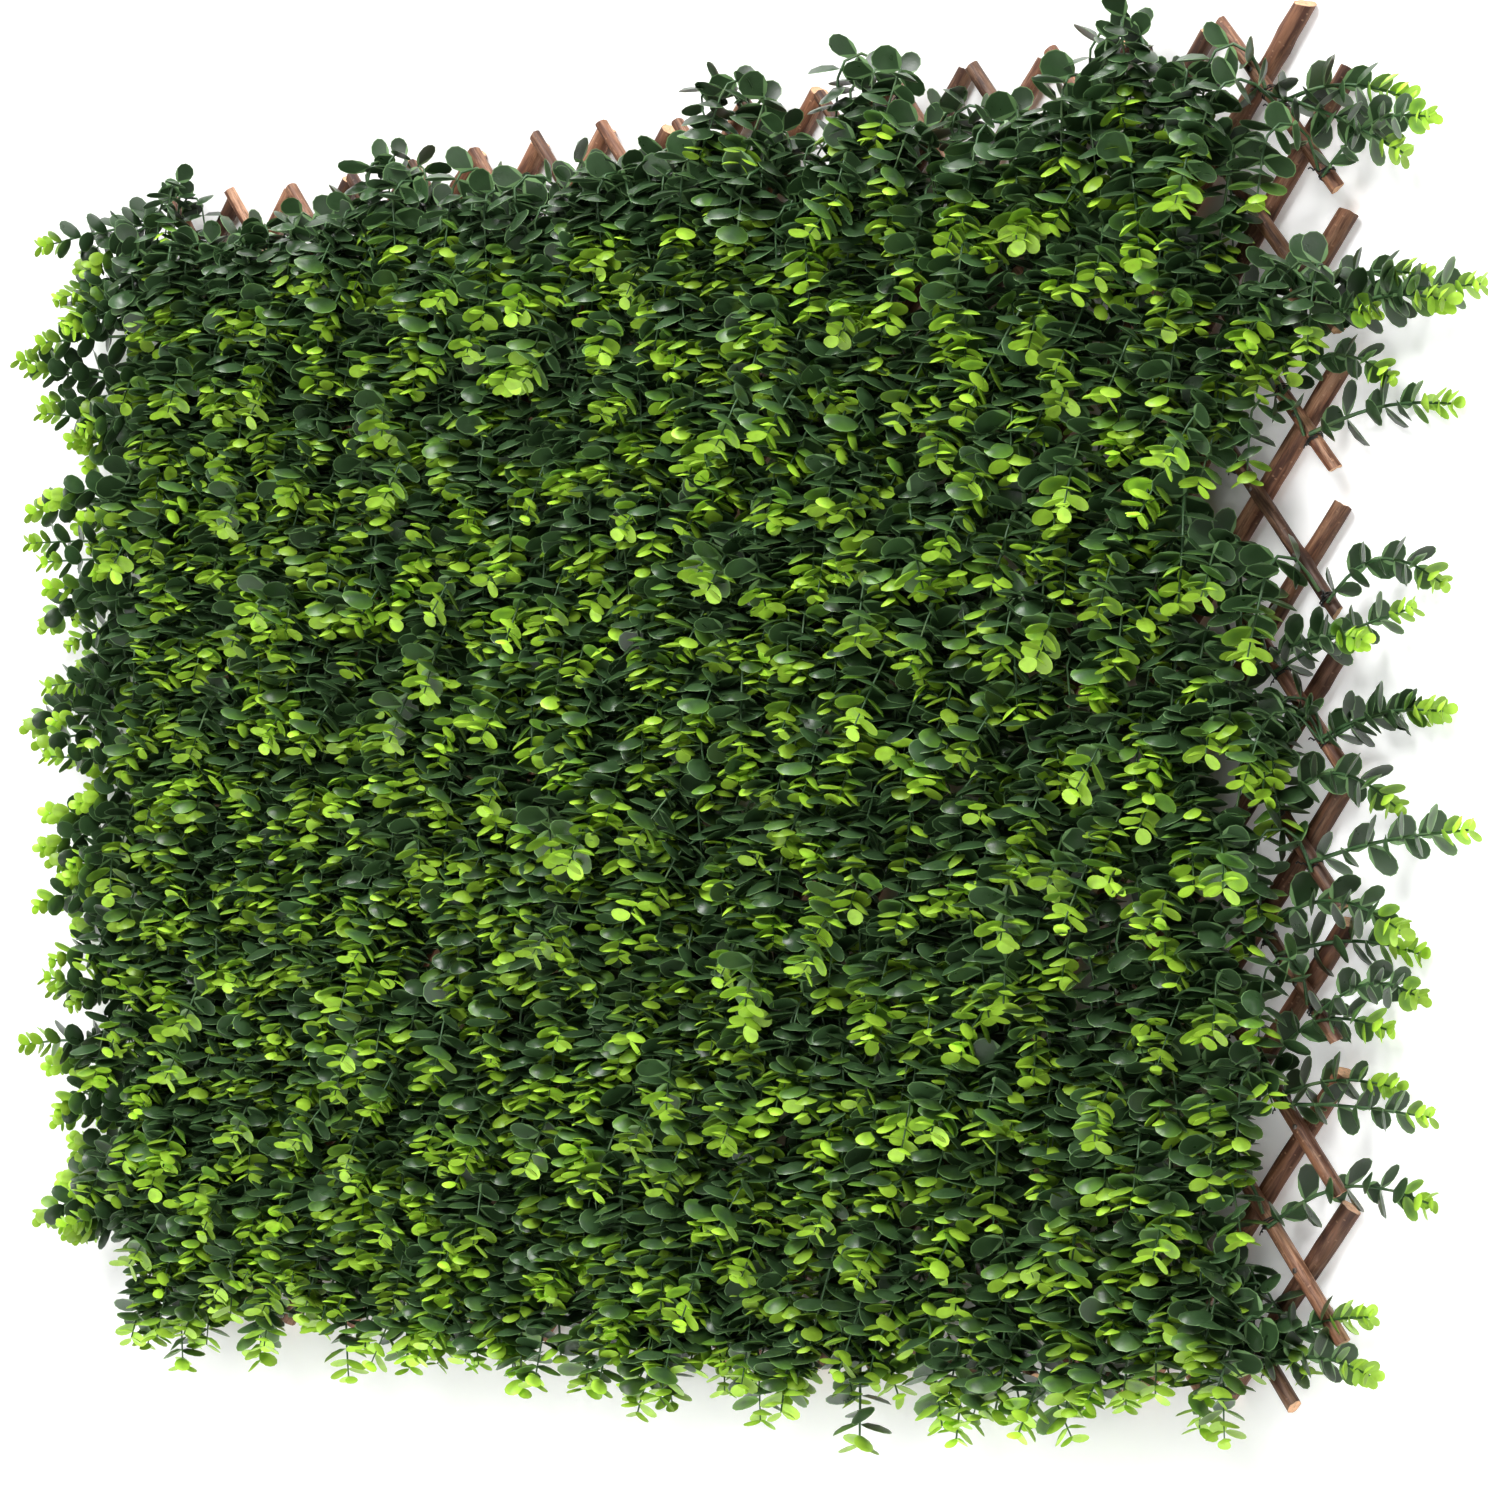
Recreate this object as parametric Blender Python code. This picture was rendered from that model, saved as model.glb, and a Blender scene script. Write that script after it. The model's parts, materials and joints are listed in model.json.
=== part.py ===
"""An expanding willow lattice with artificial leaves tied to its front, in metres, +Z up.

Round sticks lie in two layers. Those of the back layer rise to the right, those of the front
layer fall to the right, and each crossing is a pivot, so the lattice folds like a scissor. Seen
from the front, the eye looks along +Y and +X is to the right. The back layer lies on a wall at
y = 0, and the origin is the back end of the screw that holds the middle crossing to that wall.

Crossings lie on a grid of half columns and half rows, at the places where i + j is even. A back
stick holds the crossings of one j - i, its number, and a front stick those of one j + i.
"""

import math
import random

import bmesh
import bpy
from mathutils import Vector
from mathutils.geometry import delaunay_2d_cdt

# Lattice at rest, between the outermost stick ends
LATTICE_WIDTH = 1.33
LATTICE_HEIGHT = 1.0
COLUMNS = 17
ROWS = 10

# Sticks
BACK_STICK_DIAMETER = 0.0155
FRONT_STICK_DIAMETER = 0.0115
LAYER_GAP = 0.0003
STICK_SIDES = 8
CROSSINGS_PER_RING = 3
STICK_BOW = 0.0008
TAPER_SHARES = (1.0, 0.86)
WIDTH_SPREAD_SHARE = 0.03
END_SHARES = (0.74, 0.96)

# Nails of the pivots, and the screw of the middle crossing
NAIL_DIAMETER = 0.003
NAIL_CLEARANCE = 0.0003
NAIL_RECESS = 0.0005
NAIL_SIDES = 6
SCREW_DIAMETER = 0.005
SCREW_HEAD_DIAMETER = 0.0078
SCREW_HEAD_THICKNESS = 0.0018
SCREW_CLEARANCE = 0.0003
SCREW_SIDES = 12
CUTTER_OVERRUN = 0.002
MERGE_DISTANCE = 0.00001

# Rows of leaf sprigs, each in front of two or three front sticks
STICKS_PER_ROW = (2, 3, 3, 3, 3, 3, 3, 3, 2)
FOLIAGE_GAP = 0.0003
ROW_GAP = 0.004
RIM_THICKNESS = 0.014
SEAM_THICKNESS = 0.050
SEAM_SPREAD = 0.020
TUFT_HEIGHT = 0.082
BETWEEN_HEIGHT = 0.062
HOLLOW_HEIGHT = 0.030
HEIGHT_SPREAD = 0.012
TUFT_DROOP = 0.030
BETWEEN_DROOP = 0.018
FOOT_HEIGHT = 0.046
FOOT_DROP = 0.009
SCATTER = 0.005
SIDE_REACH = 0.112
BELOW_REACH = 0.058
TOP_DROP = 0.028
CORNER_CUT = 0.055
SPRIG_PITCH = 0.100
SPRIG_RIDGE_HEIGHT = 0.044
SPRIG_RIDGE_SHARES = (0.35, 0.75)
SPRIG_OUTLINE_SHARES = (0.0, 0.30, 0.86, 1.0, 0.86, 0.30)
SIDE_NOTCH = 0.084
BELOW_NOTCH = 0.046
TOP_NOTCH = 0.018
CORNER_NOTCH = 0.030
NOTCH_SPREAD = 0.012
EDGE_MARGIN = 0.010

HALF_COLUMN = LATTICE_WIDTH / (2 * COLUMNS)
HALF_ROW = LATTICE_HEIGHT / (2 * ROWS)
SPACING = math.hypot(HALF_COLUMN, HALF_ROW)
NUMBER_STEP = HALF_COLUMN * HALF_ROW / SPACING
BACK_LAYER_FRONT = -BACK_STICK_DIAMETER
FRONT_LAYER_BACK = BACK_LAYER_FRONT - LAYER_GAP
FRONT_LAYER_FRONT = FRONT_LAYER_BACK - FRONT_STICK_DIAMETER
FOLIAGE_BACK = FRONT_LAYER_FRONT - FOLIAGE_GAP
LAST_NUMBER = COLUMNS + ROWS - 3
NUMBERS = range(-LAST_NUMBER, LAST_NUMBER + 1, 2)

BARK_DARK = (0.070, 0.031, 0.017, 1)
BARK_WARM = (0.115, 0.052, 0.026, 1)
STEEL = (0.42, 0.40, 0.37, 1)
LEAF_DARK = (0.020, 0.072, 0.014, 1)
LEAF_LIGHT = (0.105, 0.240, 0.030, 1)


def clear_scene():
    for obj in list(bpy.data.objects):
        bpy.data.objects.remove(obj)


def material(name, colour, roughness, metallic=0):
    made = bpy.data.materials.new(name)
    made.use_nodes = True
    shader = made.node_tree.nodes["Principled BSDF"]
    shader.inputs["Base Color"].default_value = colour
    shader.inputs["Roughness"].default_value = roughness
    shader.inputs["Metallic"].default_value = metallic
    return made


def mixed(first, second, share):
    return tuple(a + (b - a) * share for a, b in zip(first, second))


def new_object(name, mesh, location=(0, 0, 0), parent=None):
    """An object at a place in the world, carried by its parent."""
    obj = bpy.data.objects.new(name, mesh)
    bpy.context.scene.collection.objects.link(obj)
    obj.location = location
    if parent:
        obj.parent = parent
        obj.location = Vector(location) - world_place(parent)
    return obj


def world_place(obj):
    """Where an object's origin is. No object here is turned or scaled."""
    place = Vector(obj.location)
    while obj.parent:
        obj = obj.parent
        place += obj.location
    return place


def mesh_from(name, form):
    bmesh.ops.recalc_face_normals(form, faces=form.faces)
    mesh = bpy.data.meshes.new(name)
    form.to_mesh(mesh)
    form.free()
    return mesh


def smooth(mesh):
    mesh.shade_smooth()
    mesh.set_sharp_from_angle(angle=math.radians(50))


def crossing(i, j):
    return Vector((i * HALF_COLUMN, 0, j * HALF_ROW))


def in_lattice(i, j):
    return abs(i) < COLUMNS and abs(j) < ROWS


def crossings_of(layer, number):
    """The crossings on a stick, from left to right."""
    found = []
    for i in range(1 - COLUMNS, COLUMNS):
        j = number + i if layer == "back" else number - i
        if in_lattice(i, j):
            found.append((i, j))
    return found


def direction_of(layer):
    rise = HALF_ROW if layer == "back" else -HALF_ROW
    return Vector((HALF_COLUMN, 0, rise)).normalized()


def stick_name(layer, number):
    return f"{layer}_stick_{(number + LAST_NUMBER) // 2 + 1:02d}"


def meeting(back_number, front_number):
    """The crossing of a back stick and a front stick."""
    return (front_number - back_number) // 2, (front_number + back_number) // 2


def crossing_of_pair(layer, number, carrier):
    return meeting(number, carrier) if layer == "back" else meeting(carrier, number)


def carriers():
    """{(layer, number): number of the stick in the other layer that carries it}. Both middle
    sticks turn on the screw. The back one carries each front stick that crosses it, and the
    front one carries each back stick that crosses that one. The sticks of the four corners
    cross neither, so each is carried at the middle of the crossings that it shares with a stick
    near them."""
    found = {}
    most_through_middle = 2 * (ROWS - 1)
    near_corner = COLUMNS - ROWS - 1
    for number in NUMBERS:
        if number == 0:
            continue
        corner_carrier = -near_corner if number > 0 else near_corner
        carrier = 0 if abs(number) <= most_through_middle else corner_carrier
        found["front", number] = carrier
        found["back", number] = carrier
    return found


def ring(form, centre, across, width_share, diameter):
    """One ring of a stick. Its front and back stay flat, where the layers meet."""
    radius = diameter / 2 / math.cos(math.pi / STICK_SIDES)
    points = []
    for side in range(STICK_SIDES):
        angle = 2 * math.pi * (side + 0.5) / STICK_SIDES
        sideways = across * math.cos(angle) * radius * width_share
        points.append(form.verts.new(centre + sideways + Vector((0, math.sin(angle) * radius, 0))))
    return points


def stick_mesh(name, layer, number, pivot):
    """A round stick along its crossings, a little bowed and tapered, about its pivot."""
    chance = random.Random(name)
    diameter = BACK_STICK_DIAMETER if layer == "back" else FRONT_STICK_DIAMETER
    middle = -diameter / 2 if layer == "back" else FRONT_LAYER_BACK - diameter / 2
    along = direction_of(layer)
    across = Vector((-along.z, 0, along.x))
    held = [crossing(*at) for at in crossings_of(layer, number)]
    start = held[0] - along * SPACING * chance.uniform(*END_SHARES)
    end = held[-1] + along * SPACING * chance.uniform(*END_SHARES)
    centres = [start] + held[1:-1:CROSSINGS_PER_RING] + [end]
    butt_first = chance.random() < 0.5
    form = bmesh.new()
    rings = []
    butt_share, tip_share = TAPER_SHARES if butt_first else reversed(TAPER_SHARES)
    for centre in centres:
        share = (centre - start).length / (end - start).length
        taper_share = butt_share + (tip_share - butt_share) * share
        width_share = taper_share + chance.uniform(-WIDTH_SPREAD_SHARE, WIDTH_SPREAD_SHARE)
        bow = across * chance.uniform(-STICK_BOW, STICK_BOW)
        place = centre + bow + Vector((0, middle, 0)) - pivot
        rings.append(ring(form, place, across, width_share, diameter))
    for first, second in zip(rings, rings[1:]):
        for side in range(STICK_SIDES):
            after = (side + 1) % STICK_SIDES
            form.faces.new((first[side], first[after], second[after], second[side]))
    form.faces.new(rings[0])
    form.faces.new(rings[-1])
    return mesh_from(name, form)


def add_prism(form, centre, back, front, diameter, sides):
    """A straight round bar along Y, added to a form."""
    radius = diameter / 2
    ends = []
    for depth in (back, front):
        end = []
        for side in range(sides):
            angle = 2 * math.pi * side / sides
            around = Vector((math.cos(angle) * radius, depth, math.sin(angle) * radius))
            end.append(form.verts.new(centre + around))
        ends.append(end)
    for side in range(sides):
        after = (side + 1) % sides
        form.faces.new((ends[0][side], ends[0][after], ends[1][after], ends[1][side]))
    form.faces.new(ends[0])
    form.faces.new(ends[1])


def combine(stick, form, operation, label):
    """Cuts or joins a form, built about the stick's own origin, by a hidden helper."""
    helper = new_object(f"{stick.name}_{label}", mesh_from(f"{stick.name}_{label}", form))
    helper.parent = stick
    helper.hide_render = True
    helper.display_type = "WIRE"
    change = stick.modifiers.new(label, "BOOLEAN")
    change.operation = operation
    change.solver = "EXACT"
    change.object = helper


def add_pivots(stick, layer, number, pivot, carried):
    """The hole that a stick turns on, and the nails that it carries other sticks by."""
    holes = bmesh.new()
    if number == 0:
        add_prism(
            holes,
            crossing(0, 0) - pivot,
            CUTTER_OVERRUN,
            FRONT_LAYER_FRONT - CUTTER_OVERRUN,
            SCREW_DIAMETER + 2 * SCREW_CLEARANCE,
            SCREW_SIDES,
        )
        if layer == "front":
            add_head_seat(stick, pivot)
    else:
        add_prism(
            holes,
            Vector((0, 0, 0)),
            CUTTER_OVERRUN,
            FRONT_LAYER_FRONT - CUTTER_OVERRUN,
            NAIL_DIAMETER + 2 * NAIL_CLEARANCE,
            NAIL_SIDES,
        )
    combine(stick, holes, "DIFFERENCE", "pivot_hole")
    if not carried:
        return
    nails = bmesh.new()
    for at in carried:
        if layer == "back":
            root, tip = BACK_LAYER_FRONT / 2, FRONT_LAYER_FRONT + NAIL_RECESS
        else:
            root, tip = (FRONT_LAYER_BACK + FRONT_LAYER_FRONT) / 2, -NAIL_RECESS
        add_prism(nails, crossing(*at) - pivot, root, tip, NAIL_DIAMETER, NAIL_SIDES)
    combine(stick, nails, "UNION", "nails")


def add_head_seat(stick, pivot):
    """The recess for the screw's head in the middle front stick."""
    seat = bmesh.new()
    depth = SCREW_HEAD_THICKNESS + SCREW_CLEARANCE + NAIL_RECESS
    add_prism(
        seat,
        crossing(0, 0) - pivot,
        FRONT_LAYER_FRONT + depth,
        FRONT_LAYER_FRONT - CUTTER_OVERRUN,
        SCREW_HEAD_DIAMETER + 2 * SCREW_CLEARANCE,
        SCREW_SIDES,
    )
    combine(stick, seat, "DIFFERENCE", "head_seat")


def make_screw():
    """The screw through the middle crossing, whose end lies flat on the wall."""
    head_front = FRONT_LAYER_FRONT + NAIL_RECESS
    profile = (
        (0, 0),
        (SCREW_DIAMETER / 2, 0),
        (SCREW_DIAMETER / 2, head_front + SCREW_HEAD_THICKNESS),
        (SCREW_HEAD_DIAMETER / 2, head_front + SCREW_HEAD_THICKNESS),
        (SCREW_HEAD_DIAMETER / 2, head_front),
        (0, head_front),
    )
    form = bmesh.new()
    points = [form.verts.new((radius, depth, 0)) for radius, depth in profile]
    edges = [form.edges.new(pair) for pair in zip(points, points[1:])]
    bmesh.ops.spin(
        form,
        geom=points + edges,
        axis=(0, 1, 0),
        cent=(0, 0, 0),
        angle=2 * math.pi,
        steps=SCREW_SIDES,
        use_merge=True,
    )
    bmesh.ops.remove_doubles(form, verts=form.verts, dist=MERGE_DISTANCE)
    screw = new_object("centre_screw", mesh_from("centre_screw", form))
    smooth(screw.data)
    screw.data.materials.append(material("screw_steel", STEEL, 0.45, 1))
    return screw


def make_sticks(screw):
    """All sticks, each carried by the screw or by the stick whose nail it turns on."""
    carried_by = carriers()
    sticks = {}
    pivots = {("back", 0): crossing(0, 0), ("front", 0): crossing(0, 0)}
    waiting = [*pivots, *sorted(carried_by, key=lambda key: abs(key[1]))]
    while waiting:
        key = waiting.pop(0)
        layer, number = key
        other = "front" if layer == "back" else "back"
        carrier = (other, carried_by[key]) if key in carried_by else None
        if carrier and not sticks.get(carrier):
            waiting.append(key)
            continue
        if carrier:
            pivots[key] = crossing(*crossing_of_pair(layer, number, carrier[1]))
        name = stick_name(layer, number)
        mesh = stick_mesh(name, layer, number, pivots[key])
        parent = sticks[carrier] if carrier else screw
        stick = new_object(name, mesh, pivots[key], parent)
        carried = [
            crossing_of_pair(other, rider, number)
            for (side, rider), by in carried_by.items()
            if side == other and by == number
        ]
        add_pivots(stick, layer, number, pivots[key], carried)
        smooth(mesh)
        shade = random.Random(name).random()
        colour = mixed(BARK_DARK, BARK_WARM, shade)
        mesh.materials.append(material(f"{name}_bark", colour, 0.62))
        sticks[key] = stick
    return sticks


def across_rows(x, z):
    """The number that a front stick through this point would have."""
    return x / HALF_COLUMN + z / HALF_ROW


def clipped(outline, limit, sign):
    """The part of an outline where sign times across_rows is at most sign times the limit."""
    kept = []
    for first, second in zip(outline, outline[1:] + outline[:1]):
        over_first = sign * (across_rows(*first) - limit)
        over_second = sign * (across_rows(*second) - limit)
        if over_first <= 0:
            kept.append(first)
        if over_first * over_second < 0:
            share = over_first / (over_first - over_second)
            kept.append(tuple(a + (b - a) * share for a, b in zip(first, second)))
    return kept


def edge_corners():
    """The corners of the whole field of leaves, anticlockwise as seen from the front."""
    right = LATTICE_WIDTH / 2 + SIDE_REACH
    bottom = -LATTICE_HEIGHT / 2 - BELOW_REACH
    top = LATTICE_HEIGHT / 2 - TOP_DROP
    return [
        (CORNER_CUT - right, bottom),
        (right - CORNER_CUT, bottom),
        (right, bottom + CORNER_CUT),
        (right, top - CORNER_CUT),
        (right - CORNER_CUT, top),
        (CORNER_CUT - right, top),
        (-right, top - CORNER_CUT),
        (-right, bottom + CORNER_CUT),
    ]


def beside_row(first, second):
    """Whether an edge runs along the sticks, and so beside the next row."""
    rise = across_rows(*second) - across_rows(*first)
    return abs(rise) * NUMBER_STEP < MERGE_DISTANCE


def notch_depth(inward):
    """How far the notches between the sprigs cut into an edge that faces away from this."""
    if abs(inward[0]) > 1 - MERGE_DISTANCE:
        return SIDE_NOTCH
    if inward[1] > 1 - MERGE_DISTANCE:
        return BELOW_NOTCH
    return TOP_NOTCH if inward[1] < MERGE_DISTANCE - 1 else CORNER_NOTCH


def ragged_outline(corners, low, high, chance):
    """(x, z, height) round a row of sprigs, and along the middle of each sprig that sticks out:
    straight and high beside the next rows, and low and notched at the lattice's own edges."""
    points, ridges = [], []
    margin = EDGE_MARGIN / NUMBER_STEP
    for first, second in zip(corners, corners[1:] + corners[:1]):
        length = math.dist(first, second)
        inward = (-(second[1] - first[1]) / length, (second[0] - first[0]) / length)
        points.append((*first, RIM_THICKNESS))
        if beside_row(first, second):
            pieces = max(1, round(length / SPACING))
            for piece in range(1, pieces):
                x, z = mixed(first, second, piece / pieces)
                points.append((x, z, SEAM_THICKNESS - chance.uniform(0, SEAM_SPREAD)))
            continue
        steps = len(SPRIG_OUTLINE_SHARES)
        pieces = steps * max(1, round(length / SPRIG_PITCH))
        notch = notch_depth(inward)
        for piece in range(1, pieces):
            x, z = mixed(first, second, piece / pieces)
            at_tip = piece % steps == 0
            depth = notch * SPRIG_OUTLINE_SHARES[piece % steps]
            depth += chance.uniform(0, NOTCH_SPREAD) * (1 if at_tip else -depth / notch)
            places = [(depth, RIM_THICKNESS, points)]
            if at_tip:
                reach = notch - depth
                places += [
                    (depth + reach * share, SPRIG_RIDGE_HEIGHT, ridges) for share in SPRIG_RIDGE_SHARES
                ]
            for distance, height, found in places:
                at = (x + inward[0] * distance, z + inward[1] * distance)
                if low + margin < across_rows(*at) < high - margin:
                    found.append((*at, height))
    return points, ridges


def tuft_kind(across, up):
    """(height, droop) at a point of a grid twice as fine as that of the crossings: a full tuft
    hangs from each crossing, a lesser one from the stick between two, and the rest is hollow."""
    if across % 2:
        return BETWEEN_HEIGHT, BETWEEN_DROOP
    if (across + up) % 4 == 0:
        return TUFT_HEIGHT, TUFT_DROOP
    return HOLLOW_HEIGHT, 0


def tuft_points(low, high, chance):
    """(x, z, height) of the tufts and of the hollows between them."""
    found = []
    margin = EDGE_MARGIN / NUMBER_STEP
    most_x = LATTICE_WIDTH / 2 + SIDE_REACH - SIDE_NOTCH - EDGE_MARGIN
    least_z = -LATTICE_HEIGHT / 2 - BELOW_REACH + BELOW_NOTCH + EDGE_MARGIN
    most_z = LATTICE_HEIGHT / 2 - TOP_DROP - TOP_NOTCH - EDGE_MARGIN
    for across in range(-2 * COLUMNS - 2, 2 * COLUMNS + 3):
        for up in range(-2 * ROWS - 2, 2 * ROWS + 3):
            if (across + up) % 2:
                continue
            height, droop = tuft_kind(across, up)
            at = crossing(across / 2, up / 2)
            x = at.x + chance.uniform(-SCATTER, SCATTER)
            z = at.z + chance.uniform(-SCATTER, SCATTER) - droop
            height -= chance.uniform(0, HEIGHT_SPREAD)
            if not low + margin < across_rows(x, z) < high - margin:
                continue
            if abs(x) < most_x and least_z < z < most_z:
                found.append((x, z, height))
                if droop == TUFT_DROOP and z - FOOT_DROP > least_z:
                    found.append((x, z - FOOT_DROP, FOOT_HEIGHT))
    return found


def foliage_mesh(name, low, high):
    """One closed body: a flat back, a rim, and a front of drooping tufts."""
    chance = random.Random(name)
    corners = clipped(clipped(edge_corners(), high, 1), low, -1)
    outline, ridges = ragged_outline(corners, low, high, chance)
    points = outline + ridges + tuft_points(low, high, chance)
    flat = [Vector(point[:2]) for point in points]
    loop = list(range(len(outline)))
    found, _, faces, origins, _, _ = delaunay_2d_cdt(flat, [], [loop], 1, MERGE_DISTANCE)
    form = bmesh.new()
    front = [
        form.verts.new((at.x, FOLIAGE_BACK - points[origin[0]][2], at.y))
        for at, origin in zip(found, origins)
    ]
    place_of = {origin[0]: place for place, origin in enumerate(origins)}
    back = [form.verts.new((x, FOLIAGE_BACK, z)) for x, z, _ in outline]
    for face in faces:
        form.faces.new([front[place] for place in face])
    form.faces.new(back)
    for first in loop:
        second = (first + 1) % len(loop)
        wall = (front[place_of[first]], front[place_of[second]], back[second], back[first])
        form.faces.new(wall)
    bmesh.ops.triangulate(form, faces=form.faces)
    return mesh_from(name, form)


def make_foliage(sticks):
    """Each row of sprigs, carried by the middle one of its front sticks."""
    beside = 1 - ROW_GAP / 2 / NUMBER_STEP
    past_corner = COLUMNS + ROWS
    first = 0
    for row, count in enumerate(STICKS_PER_ROW):
        held = list(NUMBERS)[first : first + count]
        first += count
        last_row = row == len(STICKS_PER_ROW) - 1
        low = held[0] - (beside if row else past_corner)
        high = held[-1] + (past_corner if last_row else beside)
        name = f"sprig_row_{row + 1}"
        mesh = foliage_mesh(name, low, high)
        foliage = new_object(name, mesh, (0, 0, 0), sticks["front", held[count // 2]])
        shade = random.Random(name).random()
        colour = mixed(LEAF_DARK, LEAF_LIGHT, shade)
        foliage.data.materials.append(material(f"{name}_leaves", colour, 0.45))


def main():
    clear_scene()
    screw = make_screw()
    sticks = make_sticks(screw)
    make_foliage(sticks)


main()
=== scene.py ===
"""The looks of an expanding willow trellis with artificial leaves, laid out as an add-on.

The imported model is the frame. Each piece made here rides on one of its bodies and lies where that
body's solids lie. Lengths are in metres, +Z is up. Seen from the front, the eye looks along +Y and
+X is to the right. The back layer of sticks lies on the wall at y = 0, and the leaves hang in
front of the front layer.
"""

import json
import math
import random

import bmesh
import bpy
import numpy as np
from bpy.props import FloatProperty, FloatVectorProperty, IntProperty, PointerProperty
from mathutils import Matrix, Vector, noise

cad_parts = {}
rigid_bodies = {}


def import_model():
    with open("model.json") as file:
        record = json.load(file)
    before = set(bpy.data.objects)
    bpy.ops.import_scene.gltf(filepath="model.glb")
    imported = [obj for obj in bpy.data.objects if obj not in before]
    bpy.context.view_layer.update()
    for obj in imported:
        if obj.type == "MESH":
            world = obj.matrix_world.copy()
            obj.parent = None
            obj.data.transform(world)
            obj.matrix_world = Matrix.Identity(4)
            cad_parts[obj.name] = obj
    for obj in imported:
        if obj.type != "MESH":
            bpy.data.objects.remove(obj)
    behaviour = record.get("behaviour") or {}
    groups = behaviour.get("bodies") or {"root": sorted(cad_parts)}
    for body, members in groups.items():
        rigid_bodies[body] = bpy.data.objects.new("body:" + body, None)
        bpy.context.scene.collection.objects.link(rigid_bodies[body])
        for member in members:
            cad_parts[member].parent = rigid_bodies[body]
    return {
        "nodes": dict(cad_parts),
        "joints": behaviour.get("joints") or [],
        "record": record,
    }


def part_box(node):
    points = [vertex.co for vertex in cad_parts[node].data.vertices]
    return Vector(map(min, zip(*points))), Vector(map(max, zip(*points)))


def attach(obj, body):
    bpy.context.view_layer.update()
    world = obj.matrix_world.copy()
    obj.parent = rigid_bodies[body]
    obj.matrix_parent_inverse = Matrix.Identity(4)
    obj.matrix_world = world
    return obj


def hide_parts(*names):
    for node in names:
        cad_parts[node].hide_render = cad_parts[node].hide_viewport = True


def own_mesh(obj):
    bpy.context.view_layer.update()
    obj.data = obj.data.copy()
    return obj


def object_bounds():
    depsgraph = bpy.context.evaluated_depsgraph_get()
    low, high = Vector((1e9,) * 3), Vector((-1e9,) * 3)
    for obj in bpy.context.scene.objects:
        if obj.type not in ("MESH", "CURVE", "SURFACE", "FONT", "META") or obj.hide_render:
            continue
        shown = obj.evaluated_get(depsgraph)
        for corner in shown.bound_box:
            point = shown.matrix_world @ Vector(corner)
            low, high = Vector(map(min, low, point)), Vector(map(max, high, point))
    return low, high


bl_info = {
    "name": "Hedge trellis",
    "version": (1, 0, 0),
    "blender": (4, 5, 0),
    "location": "3D View > Sidebar > Trellis",
    "description": "Dresses an expanding willow trellis with bark, nails, tie wires and leaf sprigs",
    "category": "Object",
}

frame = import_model()
CAD_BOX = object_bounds()

# The lattice's own rule, read from the joints and the sticks' boxes
PIVOTS = [joint["pos_m"] for joint in frame["joints"]]
HALF_COLUMN = min(abs(x) for x, _, _ in PIVOTS if x)
HALF_ROW = min(abs(z) for _, _, z in PIVOTS if z)
SPACING = math.hypot(HALF_COLUMN, HALF_ROW)
STICK_COUNT = sum(name.startswith("front_stick") for name in frame["nodes"])
FOLIAGE_NODES = sorted(name for name in frame["nodes"] if name.startswith("sprig_row"))
HALF_WIDTH = max(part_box(f"{layer}_stick_{STICK_COUNT:02d}")[1].x for layer in ("back", "front"))
HALF_HEIGHT = max(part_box(f"{layer}_stick_{STICK_COUNT:02d}")[1].z for layer in ("back", "front"))
ROWS = round(HALF_HEIGHT / HALF_ROW)
COLUMNS = STICK_COUNT + 2 - ROWS
LAYER_DEPTHS = {
    layer: (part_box(f"{layer}_stick_01")[0].y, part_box(f"{layer}_stick_01")[1].y)
    for layer in ("back", "front")
}
LEAN = math.atan2(HALF_ROW, HALF_COLUMN)

# Leaf outline: share of the length, and half width as a share of the largest half width
LEAF_SIDE_SHARES = ((0.06, 0.38), (0.24, 0.80), (0.51, 1.0), (0.77, 0.92), (0.945, 0.54))
# Points along a leaf's middle, above and below, and how high they rise
LEAF_RIDGES = (((0.20, 0.55, 0.86), 1.0), ((0.55,), 0.5))

# Each gap between two pairs of leaves, as a share of the gap before it
GAP_SHRINK_SHARE = 0.86

# Leaves nearer to the wall than this are pressed flat
WALL_NEARNESS = 0.012

# Ties further out than this have sprigs that reach outwards, and ties above or below these heights
# have sprigs that lean up or hang over the lower edge
SIDE_FROM = HALF_WIDTH - 2.2 * HALF_COLUMN
TOP_FROM = HALF_HEIGHT - 1.8 * HALF_ROW
BOTTOM_FROM = 1.5 * HALF_ROW - HALF_HEIGHT

# Steps along a stem, round one turn of wire and along a wire's tail, and the kinds of tie
STEM_STEPS = 9
WIRE_STEPS = 7
TAIL_STEPS = 8
TIE_KINDS = 4

# Loops inside a stick's cut end, as shares of its radius
CUT_LOOP_SHARES = (0.90, 0.45)

# Lamps aimed at the middle: name, place, width and the setting that holds the power
LAMPS = (
    ("key_lamp", (1.1, -2.9, 2.3), 1.8, "key_power"),
    ("fill_lamp", (-2.4, -2.4, 1.0), 1.6, "fill_power"),
    ("top_lamp", (-0.5, -1.2, 3.2), 1.4, "top_power"),
    ("back_lamp", (0.6, 2.6, 1.2), 1.8, "back_power"),
)

# How far the wall plane lies behind the lattice, how far past its edge the wall's painted glow rises to
# full, and how far that glow is shifted along X
WALL_GAP = 0.001
PAINTED_GLOW_WIDTH = 3 * HALF_COLUMN
PAINTED_GLOW_SHIFT = 3.5 * HALF_COLUMN


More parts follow.
